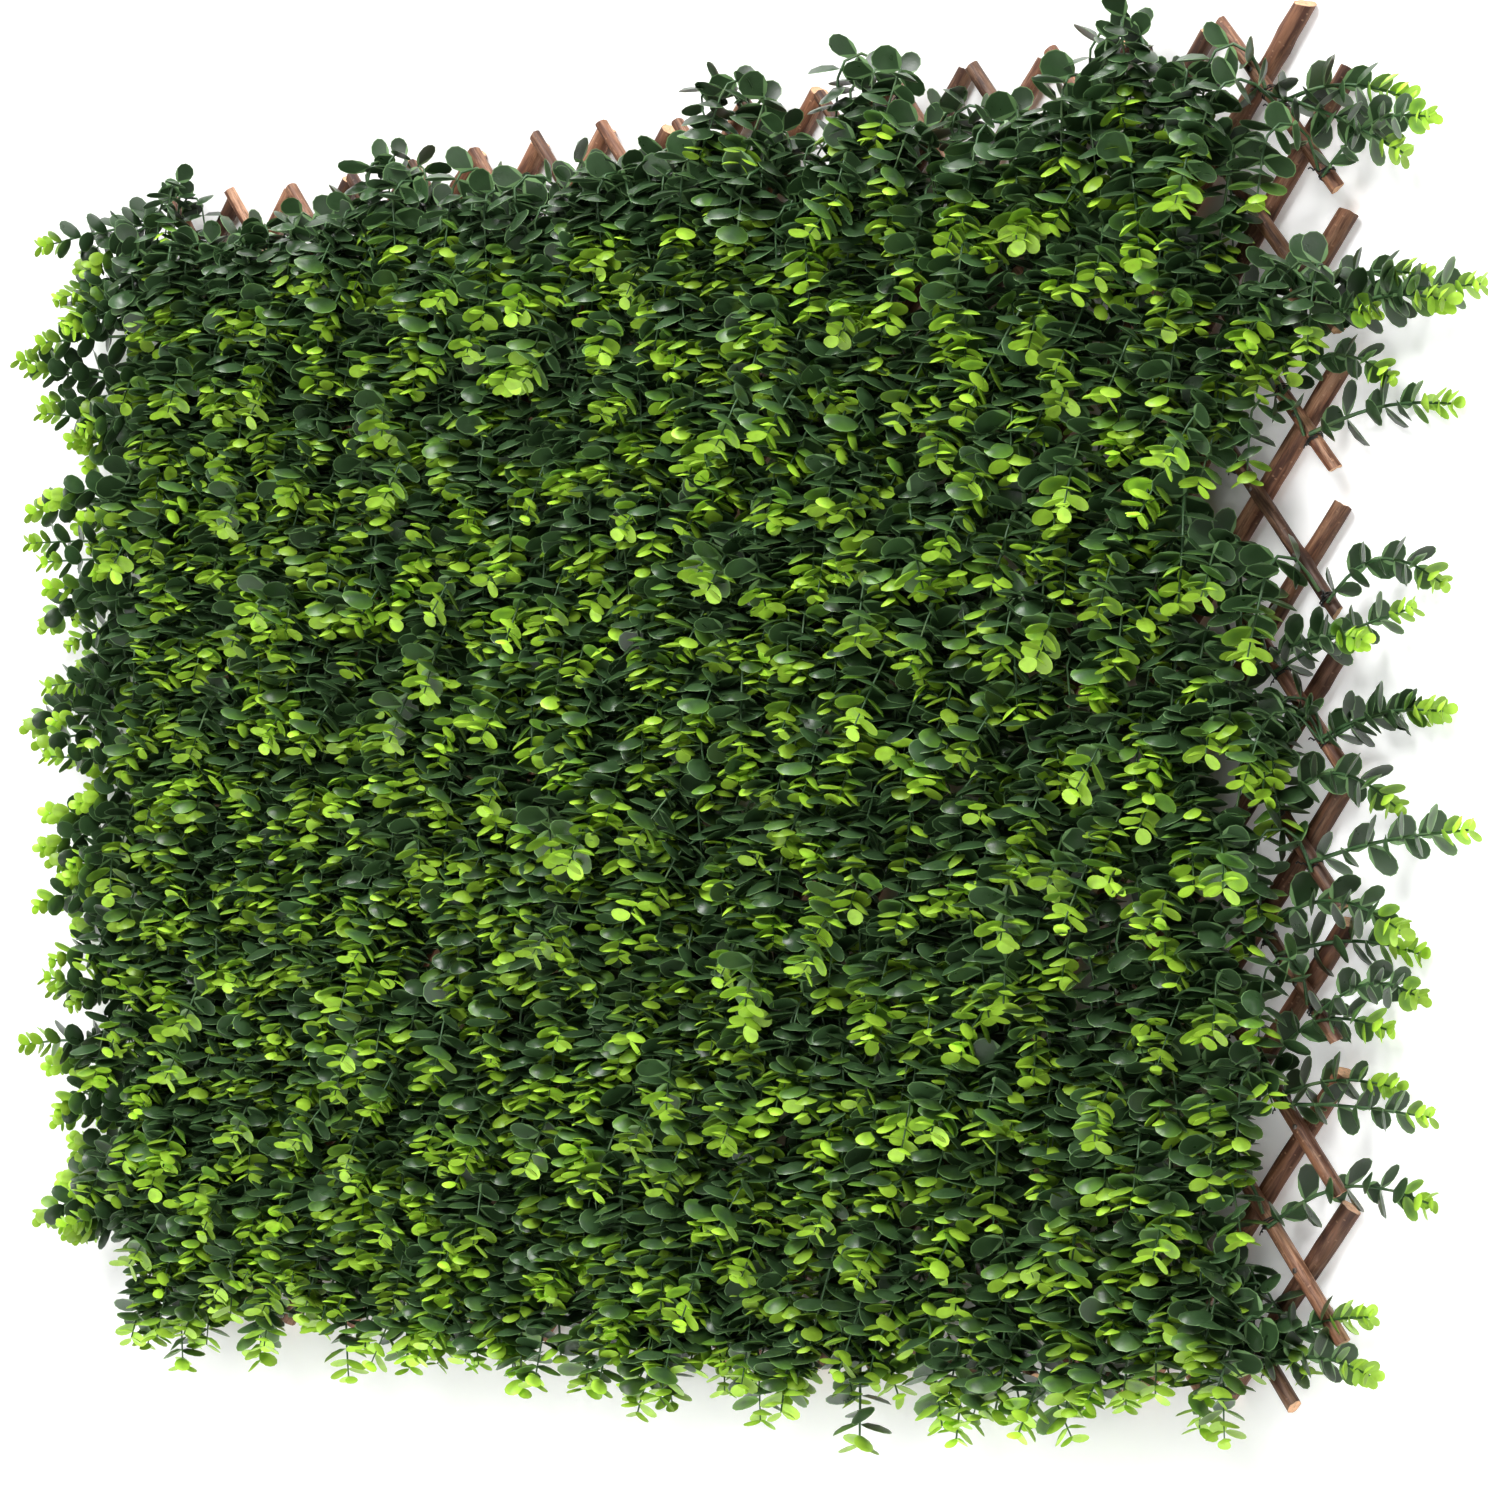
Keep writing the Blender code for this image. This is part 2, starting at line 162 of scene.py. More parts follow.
class Stick:
    """A stick of the lattice, with its place taken from the box of its CAD solid."""

    def __init__(self, layer, index):
        self.layer = layer
        self.node = f"{layer}_stick_{index:02d}"
        self.body = f"{layer}_{index:02d}"
        self.index = index
        back, front = LAYER_DEPTHS[layer]
        self.depth = (back + front) / 2
        self.radius = abs(front - back) / 2
        rise = HALF_ROW if layer == "back" else -HALF_ROW
        self.along = Vector((HALF_COLUMN, 0, rise)) / SPACING
        self.across = Vector((-self.along.z, 0, self.along.x))
        low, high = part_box(self.node)
        end_width = 2 * self.radius * abs(self.across.x)
        self.length = (high.x - low.x - end_width) / self.along.x
        middle = (Vector(low) + Vector(high)) / 2
        self.start = Vector((middle.x, self.depth, middle.z)) - self.along * self.length / 2
        self.end = self.start + self.along * self.length

    def crossings(self):
        """Where the other layer's sticks cross it, from left to right."""
        number = 2 * self.index - STICK_COUNT - 1
        found = []
        for i in range(1 - COLUMNS, COLUMNS):
            j = number + i if self.layer == "back" else number - i
            if abs(j) < ROWS:
                found.append(Vector((i * HALF_COLUMN, self.depth, j * HALF_ROW)))
        return found


def sticks_of(layer):
    return [Stick(layer, index) for index in range(1, STICK_COUNT + 1)]


def number_setting(name, description, default):
    return FloatProperty(name=name, description=description, default=default)


def count_setting(name, description, default, least=0):
    return IntProperty(name=name, description=description, default=default, min=least)


def angle_setting(name, description, degrees):
    return FloatProperty(
        name=name, description=description, default=math.radians(degrees), subtype="ANGLE"
    )


def length_setting(name, description, default):
    return FloatProperty(name=name, description=description, default=default, unit="LENGTH")


def share_setting(name, description, default):
    return FloatProperty(name=name, description=description, default=default, subtype="FACTOR")


def colour_setting(name, description, default):
    return FloatVectorProperty(name=name, description=description, default=default, subtype="COLOR")


class TrellisSticks(bpy.types.PropertyGroup):
    """Sizes and colours of the willow sticks."""

    ring_pitch: length_setting("Ring pitch", "Distance between rings of points", 0.012)
    sides: count_setting("Sides", "Points round a stick", 14, 6)
    taper: share_setting("Taper", "Share of its thickness that a stick loses", 0.10)
    bow: length_setting("Bow", "How far a stick strays from straight", 0.0016)
    lump: share_setting("Lumps", "Unevenness as a share of the radius", 0.06)
    knot_spacing: length_setting("Knot spacing", "Distance between knots", 0.085)
    knot_height: length_setting("Knot height", "How far a knot stands out", 0.0016)
    knot_length: length_setting("Knot length", "Length of a knot along the stick", 0.006)
    cut_slant: share_setting("Cut slant", "Slope of the cut at an end", 0.32)
    splinter: length_setting("Splinters", "Roughness of a cut's edge", 0.0012)
    dark_bark: colour_setting("Dark bark", "Bark in its furrows", (0.060, 0.022, 0.012))
    warm_bark: colour_setting("Warm bark", "Smooth reddish bark", (0.180, 0.080, 0.042))
    pale_bark: colour_setting("Rubbed bark", "Bark rubbed pale", (0.330, 0.185, 0.110))
    cut_wood: colour_setting("Cut wood", "Wood at the cut ends", (0.720, 0.420, 0.240))


class TrellisFixings(bpy.types.PropertyGroup):
    """Sizes and colours of the nails and tie wires."""

    head_width: length_setting("Nail head", "Width of a nail's head", 0.0042)
    head_height: length_setting("Head height", "Height of a nail's head", 0.0009)
    wire: length_setting("Wire", "Thickness of a tie wire", 0.0013)
    turns: number_setting("Turns", "Turns of a tie round the stick", 2.2)
    turn_pitch: length_setting("Turn pitch", "Distance between two turns", 0.0019)
    tail: length_setting("Tail", "Length of a tie's twisted end", 0.011)
    tie_share: share_setting("Tie place", "Share of the way to the next crossing", 0.36)
    wire_colour: colour_setting("Wire colour", "Coating of the wires", (0.014, 0.016, 0.015))
    nail_colour: colour_setting("Nail colour", "Steel of the nails", (0.16, 0.15, 0.14))


class TrellisLeaves(bpy.types.PropertyGroup):
    """Sizes and colours of the sprigs."""

    sprig_length: length_setting("Sprig", "Length of a sprig's stem", 0.118)
    stem_thickness: length_setting("Stem", "Thickness of a stem at its root", 0.0028)
    stem_sides: count_setting("Stem sides", "Sides of a stem", 4, 3)
    bare_share: share_setting("Bare stem", "Share of a stem with no leaves", 0.20)
    leaf_length: length_setting("Leaf", "Length of a grown leaf", 0.0245)
    leaf_width_share: share_setting("Leaf width", "Width as a share of the length", 0.80)
    dome_share: number_setting("Leaf dome", "Rise of a leaf's middle, as a share of its length", 0.13)
    pairs: count_setting("Pairs", "Pairs of leaves on a sprig", 9, 2)
    sprigs_per_tie: count_setting("Sprigs per tie", "Sprigs in a bundle", 4, 1)
    hanging_kinds: count_setting("Hanging kinds", "Different hanging sprigs", 12)
    reaching_kinds: count_setting("Reaching kinds", "Different reaching sprigs", 5)
    thinned_share: share_setting("Thinned share", "Share of thin bundles at the right side", 0.8)
    size_spread: share_setting("Size spread", "Spread of the sprigs' sizes", 0.12)
    seed: count_setting("Seed", "Start of everything random", 7)
    folded_share: number_setting("Folded width", "Width left when the lattice is closed", 0.32)
    grown_colour: colour_setting("Grown leaf", "Colour of a grown leaf", (0.027, 0.062, 0.021))
    middle_colour: colour_setting("Middle leaf", "Colour between old and young", (0.105, 0.235, 0.024))
    young_colour: colour_setting("Young leaf", "Colour of a sprig's tip", (0.380, 0.640, 0.045))
    rim_colour: colour_setting("Leaf rim", "Pale edge of a leaf", (0.260, 0.460, 0.180))
    stem_colour: colour_setting("Stem colour", "Colour of the stems", (0.045, 0.112, 0.038))


class TrellisStage(bpy.types.PropertyGroup):
    """Camera, lights, wall and floor."""

    camera_place: FloatVectorProperty(
        name="Camera", description="Where the camera stands", subtype="TRANSLATION", unit="LENGTH",
        default=(2.518, -2.574, -0.200),
    )
    camera_turn: angle_setting("Turn", "Camera's turn to the left of +Y", 43.59)
    camera_pitch: angle_setting("Pitch", "Camera's pitch upwards", 2.93)
    camera_roll: angle_setting("Roll", "Camera's roll", 0.31)
    lens: number_setting("Lens", "Focal length in mm", 108.0)
    key_power: number_setting("Key light", "Power of the large lamp", 142.0)
    fill_power: number_setting("Fill light", "Power of the lamp on the left", 14.0)
    top_power: number_setting("Top light", "Power of the lamp overhead", 75.0)
    back_power: number_setting("Back light", "Power of the lamp behind the wall", 45.0)
    sky: number_setting("Sky", "Strength of the even light", 0.27)
    wall_colour: colour_setting("Wall", "Colour of wall and floor", (0.96, 0.96, 0.96))
    # Strength of the painted glow, seen only by the camera, that whitens wall and floor away from the
    # lattice
    wall_painted_glow: number_setting("White", "How much the wall pales away from the lattice", 0.34)
    wall_size: length_setting("Wall size", "Width of the wall", 7.0)
    floor_drop: length_setting("Floor drop", "Floor below the lowest leaf", 0.30)


def socket_of(sockets, key):
    """A socket by its identifier, its name or its place in the list."""
    for socket in sockets:
        if socket.identifier == key:
            return socket
    return sockets[key]


def add(tree, kind, inputs, settings=None, output=0):
    """Adds a node, gives its inputs a value or a link, and returns one of its outputs."""
    made = tree.nodes.new(kind)
    for key, value in (settings or {}).items():
        setattr(made, key, value)
    for key, value in inputs.items():
        socket = socket_of(made.inputs, key)
        if isinstance(value, bpy.types.NodeSocket):
            tree.links.new(value, socket)
        else:
            socket.default_value = value
    return socket_of(made.outputs, output)


def maths(tree, operation, first, second=0.0):
    return add(tree, "ShaderNodeMath", {0: first, 1: second}, {"operation": operation})


def plus(tree, first, second):
    return maths(tree, "ADD", first, second)


def times(tree, first, second):
    return maths(tree, "MULTIPLY", first, second)


def ramp(tree, value, low, high, least=0.0, most=1.0):
    """A smooth step from least to most as the value goes from low to high."""
    return add(
        tree,
        "ShaderNodeMapRange",
        {"Value": value, "From Min": low, "From Max": high, "To Min": least, "To Max": most},
        {"interpolation_type": "SMOOTHSTEP"},
    )


def mixed(tree, share, first, second, kind="MIX"):
    return add(
        tree,
        "ShaderNodeMix",
        {"Factor_Float": share, "A_Color": first, "B_Color": second},
        {"data_type": "RGBA", "blend_type": kind},
        "Result_Color",
    )


def noise_of(tree, place, scale, detail=3.0, roughness=0.55, distortion=0.0):
    values = {"Vector": place, "Scale": scale, "Detail": detail}
    values |= {"Roughness": roughness, "Distortion": distortion}
    return add(tree, "ShaderNodeTexNoise", values)


def stretched(tree, place, lean, size):
    """Places turned by a lean and measured in lengths of the given size."""
    inputs = {"Vector": place, "Rotation": lean, "Scale": size}
    return add(tree, "ShaderNodeMapping", inputs, {"vector_type": "TEXTURE"})


def attribute_of(tree, name):
    return add(tree, "ShaderNodeAttribute", {}, {"attribute_name": name}, "Fac")


def carried(tree, name, kind="FLOAT"):
    """A named value that points carry, in a node tree for shapes."""
    return add(tree, "GeometryNodeInputNamedAttribute", {"Name": name}, {"data_type": kind})


def carrying(tree, shape, name, value):
    """A shape whose points carry a named value."""
    inputs = {"Geometry": shape, "Name": name, "Value": value}
    return add(tree, "GeometryNodeStoreNamedAttribute", inputs, {"data_type": "FLOAT", "domain": "POINT"})


def painted(tree, shape, surface, **inputs):
    """A shape, or the selected part of it, with a material."""
    inputs = {"Geometry": shape, "Material": surface, **inputs}
    return add(tree, "GeometryNodeSetMaterial", inputs)


def copies(tree, points, shape, turn, size, picks=None):
    """Solid copies of a shape on points. With picks, each point takes one of several shapes."""
    turned = add(tree, "FunctionNodeEulerToRotation", {"Euler": turn})
    inputs = {"Points": points, "Instance": shape, "Rotation": turned, "Scale": size}
    if picks:
        inputs |= {"Pick Instance": True, "Instance Index": picks}
    made = add(tree, "GeometryNodeInstanceOnPoints", inputs)
    return add(tree, "GeometryNodeRealizeInstances", {"Geometry": made})


def group(name, kind, inputs, outputs):
    """A new node group with its input and output nodes. The sockets' names are listed by their kind."""
    tree = bpy.data.node_groups.new(name, kind)
    for side, sockets in (("INPUT", inputs), ("OUTPUT", outputs)):
        for socket_kind, labels in sockets.items():
            for label in labels.split(", "):
                tree.interface.new_socket(label, in_out=side, socket_type=f"NodeSocket{socket_kind}")
    return tree, tree.nodes.new("NodeGroupInput").outputs, tree.nodes.new("NodeGroupOutput").inputs


def rgba(colour):
    return (*colour, 1.0)


def surface_group(name, **inputs):
    """A shader group that puts out a colour, a roughness and a height."""
    return group(name, "ShaderNodeTree", inputs, {"Color": "Colour", "Float": "Roughness, Height"})


def shape_group(name, **inputs):
    """A node group that puts out a shape."""
    return group(name, "GeometryNodeTree", inputs, {"Geometry": "Geometry"})


def bark_group():
    """Willow bark: streaks along the grain, rubbed patches, pale pores and dark knots."""
    if "Bark" in bpy.data.node_groups:
        return bpy.data.node_groups["Bark"]
    tree, given, out = surface_group("Bark", Color="Dark, Warm, Pale", Vector="Lean", Float="Rubbed")
    place = add(tree, "ShaderNodeTexCoord", {}, output="Object")
    grain = stretched(tree, place, given["Lean"], (0.045, 0.0045, 0.0045))
    streak = noise_of(tree, grain, 1.0, 5.0, 0.62, 0.35)
    fine = noise_of(tree, grain, 4.2, 4.0, 0.7)
    patch = noise_of(tree, grain, 0.42, 4.0, 0.6, 0.8)
    blotch = noise_of(tree, place, 7.0, 2.0)
    pores = stretched(tree, place, given["Lean"], (0.0045, 0.0065, 0.0065))
    spots = add(tree, "ShaderNodeTexVoronoi", {"Vector": pores, "Scale": 1.0}, {"feature": "F1"})
    knot = attribute_of(tree, "knot")
    shade = attribute_of(tree, "shade")
    furrow = ramp(tree, streak, 0.36, 0.62)
    colour = mixed(tree, furrow, given["Dark"], given["Warm"])
    rub = ramp(tree, plus(tree, patch, times(tree, fine, 0.35)), 0.66, 0.86)
    colour = mixed(tree, times(tree, rub, given["Rubbed"]), colour, given["Pale"])
    pore = ramp(tree, spots, 0.20, 0.12)
    colour = mixed(tree, times(tree, pore, 0.55), colour, given["Pale"])
    colour = mixed(tree, times(tree, knot, 0.75), colour, given["Dark"])
    tone = ramp(tree, plus(tree, shade, blotch), 0.35, 1.5, 0.5, 1.6)
    tone = times(tree, tone, ramp(tree, fine, 0.2, 0.8, 0.78, 1.18))
    tree.links.new(mixed(tree, 1.0, colour, tone, "MULTIPLY"), out["Colour"])
    rough = plus(tree, ramp(tree, streak, 0.3, 0.7, 0.62, 0.44), times(tree, knot, 0.2))
    tree.links.new(rough, out["Roughness"])
    height = plus(tree, streak, times(tree, fine, 0.45))
    height = maths(tree, "SUBTRACT", height, times(tree, rub, 0.15))
    height = plus(tree, height, times(tree, pore, 0.25))
    tree.links.new(height, out["Height"])
    return tree


def cut_wood_group():
    """A cut end: rings round the heart, cracks outwards, and a dark line under the bark."""
    if "Cut wood" in bpy.data.node_groups:
        return bpy.data.node_groups["Cut wood"]
    tree, given, out = surface_group("Cut wood", Color="Wood")
    place = add(tree, "ShaderNodeTexCoord", {}, output="Object")
    core = attribute_of(tree, "core")
    grain = noise_of(tree, place, 420.0, 4.0, 0.6)
    patch = noise_of(tree, place, 110.0, 2.0)
    turns = times(tree, plus(tree, core, times(tree, patch, 0.25)), 26.0)
    rings = times(tree, maths(tree, "SINE", turns), 0.5)
    tone = plus(tree, ramp(tree, grain, 0.25, 0.75, 0.72, 1.12), times(tree, rings, 0.10))
    colour = mixed(tree, 1.0, given["Wood"], tone, "MULTIPLY")
    edge = times(tree, ramp(tree, core, 0.86, 1.0), 0.7)
    heart = times(tree, ramp(tree, core, 0.16, 0.05), 0.6)
    dark = mixed(tree, 0.78, given["Wood"], (0.05, 0.02, 0.01, 1.0))
    tree.links.new(mixed(tree, maths(tree, "MAXIMUM", edge, heart), colour, dark), out["Colour"])
    tree.links.new(ramp(tree, grain, 0.2, 0.8, 0.62, 0.80), out["Roughness"])
    tree.links.new(plus(tree, grain, times(tree, rings, 0.4)), out["Height"])
    return tree


def leaf_group():
    """Moulded leaves: grown, middle and young colours, a pale rim and a faint midrib."""
    if "Moulded leaf" in bpy.data.node_groups:
        return bpy.data.node_groups["Moulded leaf"]
    tree, given, out = surface_group("Moulded leaf", Color="Grown, Middle, Young, Rim")
    place = add(tree, "ShaderNodeTexCoord", {}, output="Object")
    age = attribute_of(tree, "age")
    rim = attribute_of(tree, "rim")
    shade = attribute_of(tree, "shade")
    tone = attribute_of(tree, "tone")
    blotch = noise_of(tree, place, 85.0, 2.0)
    skin = noise_of(tree, place, 900.0, 2.0, 0.6)
    inner = times(tree, maths(tree, "SUBTRACT", 1.0, rim), 0.22)
    age_here = maths(tree, "SUBTRACT", age, inner)
    colour = mixed(tree, ramp(tree, age_here, 0.02, 0.45), given["Grown"], given["Middle"])
    colour = mixed(tree, ramp(tree, age_here, 0.35, 0.90), colour, given["Young"])
    own, sprig = ramp(tree, shade, 0.0, 1.0, 0.68, 1.28), ramp(tree, tone, 0.0, 1.0, 0.8, 1.2)
    level = times(tree, times(tree, own, sprig), ramp(tree, blotch, 0.25, 0.75, 0.86, 1.14))
    colour = mixed(tree, 1.0, colour, level, "MULTIPLY")
    edge = times(tree, ramp(tree, rim, 0.90, 0.99), ramp(tree, age, 0.1, 0.9, 0.62, 0.35))
    pale = mixed(tree, ramp(tree, age, 0.2, 0.8), given["Rim"], given["Young"])
    tree.links.new(mixed(tree, edge, colour, pale), out["Colour"])
    rough = plus(tree, ramp(tree, blotch, 0.2, 0.8, 0.26, 0.40), times(tree, age, 0.10))
    tree.links.new(rough, out["Roughness"])
    tree.links.new(skin, out["Height"])
    return tree


def coat_group():
    """A smooth coat on thin pieces: wires, stems and steel, with a change of tone and gloss."""
    if "Thin coat" in bpy.data.node_groups:
        return bpy.data.node_groups["Thin coat"]
    tree, given, out = surface_group("Thin coat", Color="Colour, Worn", Float="Wear, Roughness, Scale")
    place = add(tree, "ShaderNodeTexCoord", {}, output="Object")
    coarse = noise_of(tree, place, given["Scale"], 4.0)
    fine = noise_of(tree, place, times(tree, given["Scale"], 9.0), 3.0, 0.6)
    worn = times(tree, ramp(tree, coarse, 0.48, 0.68), given["Wear"])
    colour = mixed(tree, worn, given["Colour"], given["Worn"])
    colour = mixed(tree, 1.0, colour, ramp(tree, fine, 0.2, 0.8, 0.8, 1.15), "MULTIPLY")
    tree.links.new(colour, out["Colour"])
    rough = plus(tree, given["Roughness"], ramp(tree, coarse, 0.3, 0.7, -0.06, 0.10))
    tree.links.new(rough, out["Roughness"])
    tree.links.new(fine, out["Height"])
    return tree


def material(name, surface, values, bump, distance, metallic=0.0, specular=0.5):
    """A material whose colour, roughness and bump come from a surface group."""
    if name in bpy.data.materials:
        return bpy.data.materials[name]
    made = bpy.data.materials.new(name)
    made.use_nodes = True
    tree = made.node_tree
    shader = tree.nodes["Principled BSDF"]
    shader.inputs["Metallic"].default_value = metallic
    shader.inputs["Specular IOR Level"].default_value = specular
    part = tree.nodes.new("ShaderNodeGroup")
    part.node_tree = surface
    for key, value in values.items():
        part.inputs[key].default_value = value
    relief = add(
        tree,
        "ShaderNodeBump",
        {"Strength": bump, "Distance": distance, "Height": part.outputs["Height"]},
        output="Normal",
    )
    tree.links.new(part.outputs["Colour"], shader.inputs["Base Color"])
    tree.links.new(part.outputs["Roughness"], shader.inputs["Roughness"])
    tree.links.new(relief, shader.inputs["Normal"])
    return made


def bark_material(layer):
    look = bpy.context.scene.trellis_sticks
    lean = -LEAN if layer == "back" else LEAN
    values = {
        "Dark": rgba(look.dark_bark),
        "Warm": rgba(look.warm_bark),
        "Pale": rgba(look.pale_bark),
        "Lean": (0.0, lean, 0.0),
        "Rubbed": 0.55 if layer == "back" else 0.85,
    }
    return material(f"{layer}_bark", bark_group(), values, 0.55, 0.0006, specular=0.4)


def cut_wood_material():
    look = bpy.context.scene.trellis_sticks
    return material("cut_end", cut_wood_group(), {"Wood": rgba(look.cut_wood)}, 0.5, 0.0003, specular=0.3)


def leaf_material():
    look = bpy.context.scene.trellis_leaves
    values = {
        "Grown": rgba(look.grown_colour),
        "Middle": rgba(look.middle_colour),
        "Young": rgba(look.young_colour),
        "Rim": rgba(look.rim_colour),
    }
    return material("moulded_leaf", leaf_group(), values, 0.25, 0.0004, specular=0.55)


def coat_material(name, colour, worn, wear, roughness, scale, bump=0.2, metallic=0.0):
    """A thin coat with worn patches of another colour. The scale sets how many there are."""
    values = {
        "Colour": rgba(colour),
        "Worn": rgba(worn),
        "Wear": wear,
        "Roughness": roughness,
        "Scale": scale,
    }
    return material(name, coat_group(), values, bump, 0.0002, metallic=metallic)


def stem_material():
    look = bpy.context.scene.trellis_leaves
    return coat_material("moulded_stem", look.stem_colour, (0.10, 0.16, 0.05), 0.6, 0.42, 60.0)


def wire_material():
    look = bpy.context.scene.trellis_fixings
    return coat_material("coated_wire", look.wire_colour, (0.05, 0.05, 0.045), 0.5, 0.36, 160.0)


def steel_material():
    look = bpy.context.scene.trellis_fixings
    return coat_material("dull_steel", look.nail_colour, (0.16, 0.06, 0.02), 0.7, 0.42, 240.0, 0.3, 0.9)


def piece(name, mesh, body, slot, *nodes):
    """A finished piece in the scene, riding on a body and standing for its CAD nodes."""
    obj = bpy.data.objects.new(name, mesh)
    bpy.context.scene.collection.objects.link(obj)
    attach(obj, body)
    if nodes:
        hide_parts(*nodes)
    return obj


def store(mesh, name, kind, values, domain="POINT"):
    """Writes one named value per point or face."""
    attribute = mesh.attributes.new(name, kind, domain)
    field = "vector" if kind == "FLOAT_VECTOR" else "value"
    attribute.data.foreach_set(field, np.asarray(values).ravel())


def stick_row(stick, look, share, seed, knots, cut, thickness):
    """The points of one ring of a stick, and how knotty each is. A cut slants and splinters it."""
    slant_across, slant_deep, splinter = cut
    distance = share * stick.length
    bow = look.bow * noise.noise(Vector((distance * 5, seed, 0)))
    points, knotty = [], []
    for side in range(look.sides):
        angle = math.tau * side / look.sides
        around = Vector((distance * 42, math.cos(angle) * 0.7 + seed, math.sin(angle) * 0.7))
        radius = stick.radius * (1 + look.lump * noise.noise(around))
        knot = 0.0
        for place, facing, size in knots:
            nearness = math.exp(-(((place - share) * stick.length / look.knot_length) ** 2))
            knot = max(knot, nearness * size * max(0.0, math.cos(angle - facing)) ** 2)
        radius = (radius + look.knot_height * knot) * thickness
        offset = (math.cos(angle) * radius, math.sin(angle) * radius)
        slip = slant_across * offset[0] + slant_deep * offset[1] + splinter * noise.noise(around * 7)
        depth = max(-stick.radius, min(stick.radius, offset[1]))
        point = stick.start + stick.along * (distance + slip) + stick.across * (offset[0] + bow)
        points.append(point + Vector((0, depth, 0)))
        knotty.append(min(1.0, knot * 1.3))
    return points, knotty


def band(first, second):
    """The faces between two closed loops of points."""
    return list(zip(first, first[1:] + first[:1], second[1:] + second[:1], second))


def stick_mesh(stick):
    """A stick with its bark's lumps and knots, and a slanting cut at each end."""
    look = bpy.context.scene.trellis_sticks
    chance = random.Random(stick.node)
    seed = chance.uniform(0, 90)
    rings = max(6, round(stick.length / look.ring_pitch))
    thick_first = chance.random() < 0.5
    knots = [
        (chance.random(), chance.uniform(0, math.tau), chance.uniform(0.4, 1.0))
        for _ in range(round(stick.length / look.knot_spacing))
    ]
    cuts = [
        (chance.uniform(-1, 1) * look.cut_slant, chance.uniform(-1, 1) * look.cut_slant, look.splinter)
        for _ in range(2)
    ]
    points, knotty, core = [], [], []
    for ring in range(rings + 1):
        share = ring / rings
        thickness = 1 - look.taper * (share if thick_first else 1 - share)
        cut = cuts[0] if ring == 0 else cuts[1] if ring == rings else (0, 0, 0)
        row, knot = stick_row(stick, look, share, seed, knots, cut, thickness)
        points += row
        knotty += knot
        core += [1.0] * look.sides
    loops = [list(range(ring * look.sides, (ring + 1) * look.sides)) for ring in range(rings + 1)]
    faces = [face for first, second in zip(loops, loops[1:]) for face in band(first, second)]
    bark_faces = len(faces)
    for end in (loops[0], loops[-1]):
        centre = sum((points[i] for i in end), Vector()) / look.sides
        outer = end
        for share in CUT_LOOP_SHARES:
            inner = list(range(len(points), len(points) + look.sides))
            points += [centre + (points[i] - centre) * share for i in end]
            core += [share] * look.sides
            faces += band(outer, inner)
            outer = inner
        points.append(centre)
        core.append(0.0)
        faces += [(*side, len(points) - 1) for side in zip(outer, outer[1:] + outer[:1])]
    knotty += [0.0] * (len(points) - len(knotty))
    mesh = bpy.data.meshes.new(f"{stick.node}_wood")
    mesh.from_pydata(points, [], faces)
    mesh.polygons.foreach_set("material_index", [int(i >= bark_faces) for i in range(len(faces))])
    store(mesh, "knot", "FLOAT", knotty)
    store(mesh, "core", "FLOAT", core)
    store(mesh, "shade", "FLOAT", [chance.random()] * len(points))
    face_outwards(mesh)
    mesh.materials.append(bark_material(stick.layer))
    mesh.materials.append(cut_wood_material())
    return mesh


def face_outwards(mesh, sharp_degrees=50):
    """Turns a closed mesh's faces outwards and smooths it except at sharp edges."""
    form = bmesh.new()
    form.from_mesh(mesh)
    bmesh.ops.recalc_face_normals(form, faces=form.faces)
    form.to_mesh(mesh)
    form.free()
    mesh.shade_smooth()
    mesh.set_sharp_from_angle(angle=math.radians(sharp_degrees))


def make_sticks(layer):
    for stick in sticks_of(layer):
        piece(f"{stick.node}_wood", stick_mesh(stick), stick.body, f"bark_{layer}", stick.node)


def scatter_tree():
    """Places one of several pieces on each point, by the point's own turn, size and pick."""
    if "Scatter pieces" in bpy.data.node_groups:
        return bpy.data.node_groups["Scatter pieces"]
    tree, given, out = shape_group(
        "Scatter pieces",
        Geometry="Points",
        Collection="Pieces",
        Float="Size Spread",
        Int="Seed",
        Material="Material, Stem Material",
    )
    pieces = add(
        tree,
        "GeometryNodeCollectionInfo",
        {"Collection": given["Pieces"], "Separate Children": True, "Reset Children": True},
    )
    turn, pick = carried(tree, "turn", "FLOAT_VECTOR"), carried(tree, "pick", "INT")
    size = carried(tree, "size")
    change = add(
        tree,
        "FunctionNodeRandomValue",
        {
            "Min_001": maths(tree, "SUBTRACT", 1.0, given["Size Spread"]),
            "Max_001": plus(tree, 1.0, given["Size Spread"]),
            "Seed": given["Seed"],
        },
        {"data_type": "FLOAT"},
        1,
    )
    solid = copies(tree, given["Points"], pieces, turn, times(tree, size, change), pick)
    is_stem = add(
        tree,
        "FunctionNodeCompare",
        {"A": carried(tree, "stem"), "B": 0.5},
        {"data_type": "FLOAT", "operation": "GREATER_THAN"},
    )
    solid = painted(tree, solid, given["Material"])
    solid = painted(tree, solid, given["Stem Material"], Selection=is_stem)
    tree.links.new(solid, out["Geometry"])
    return tree


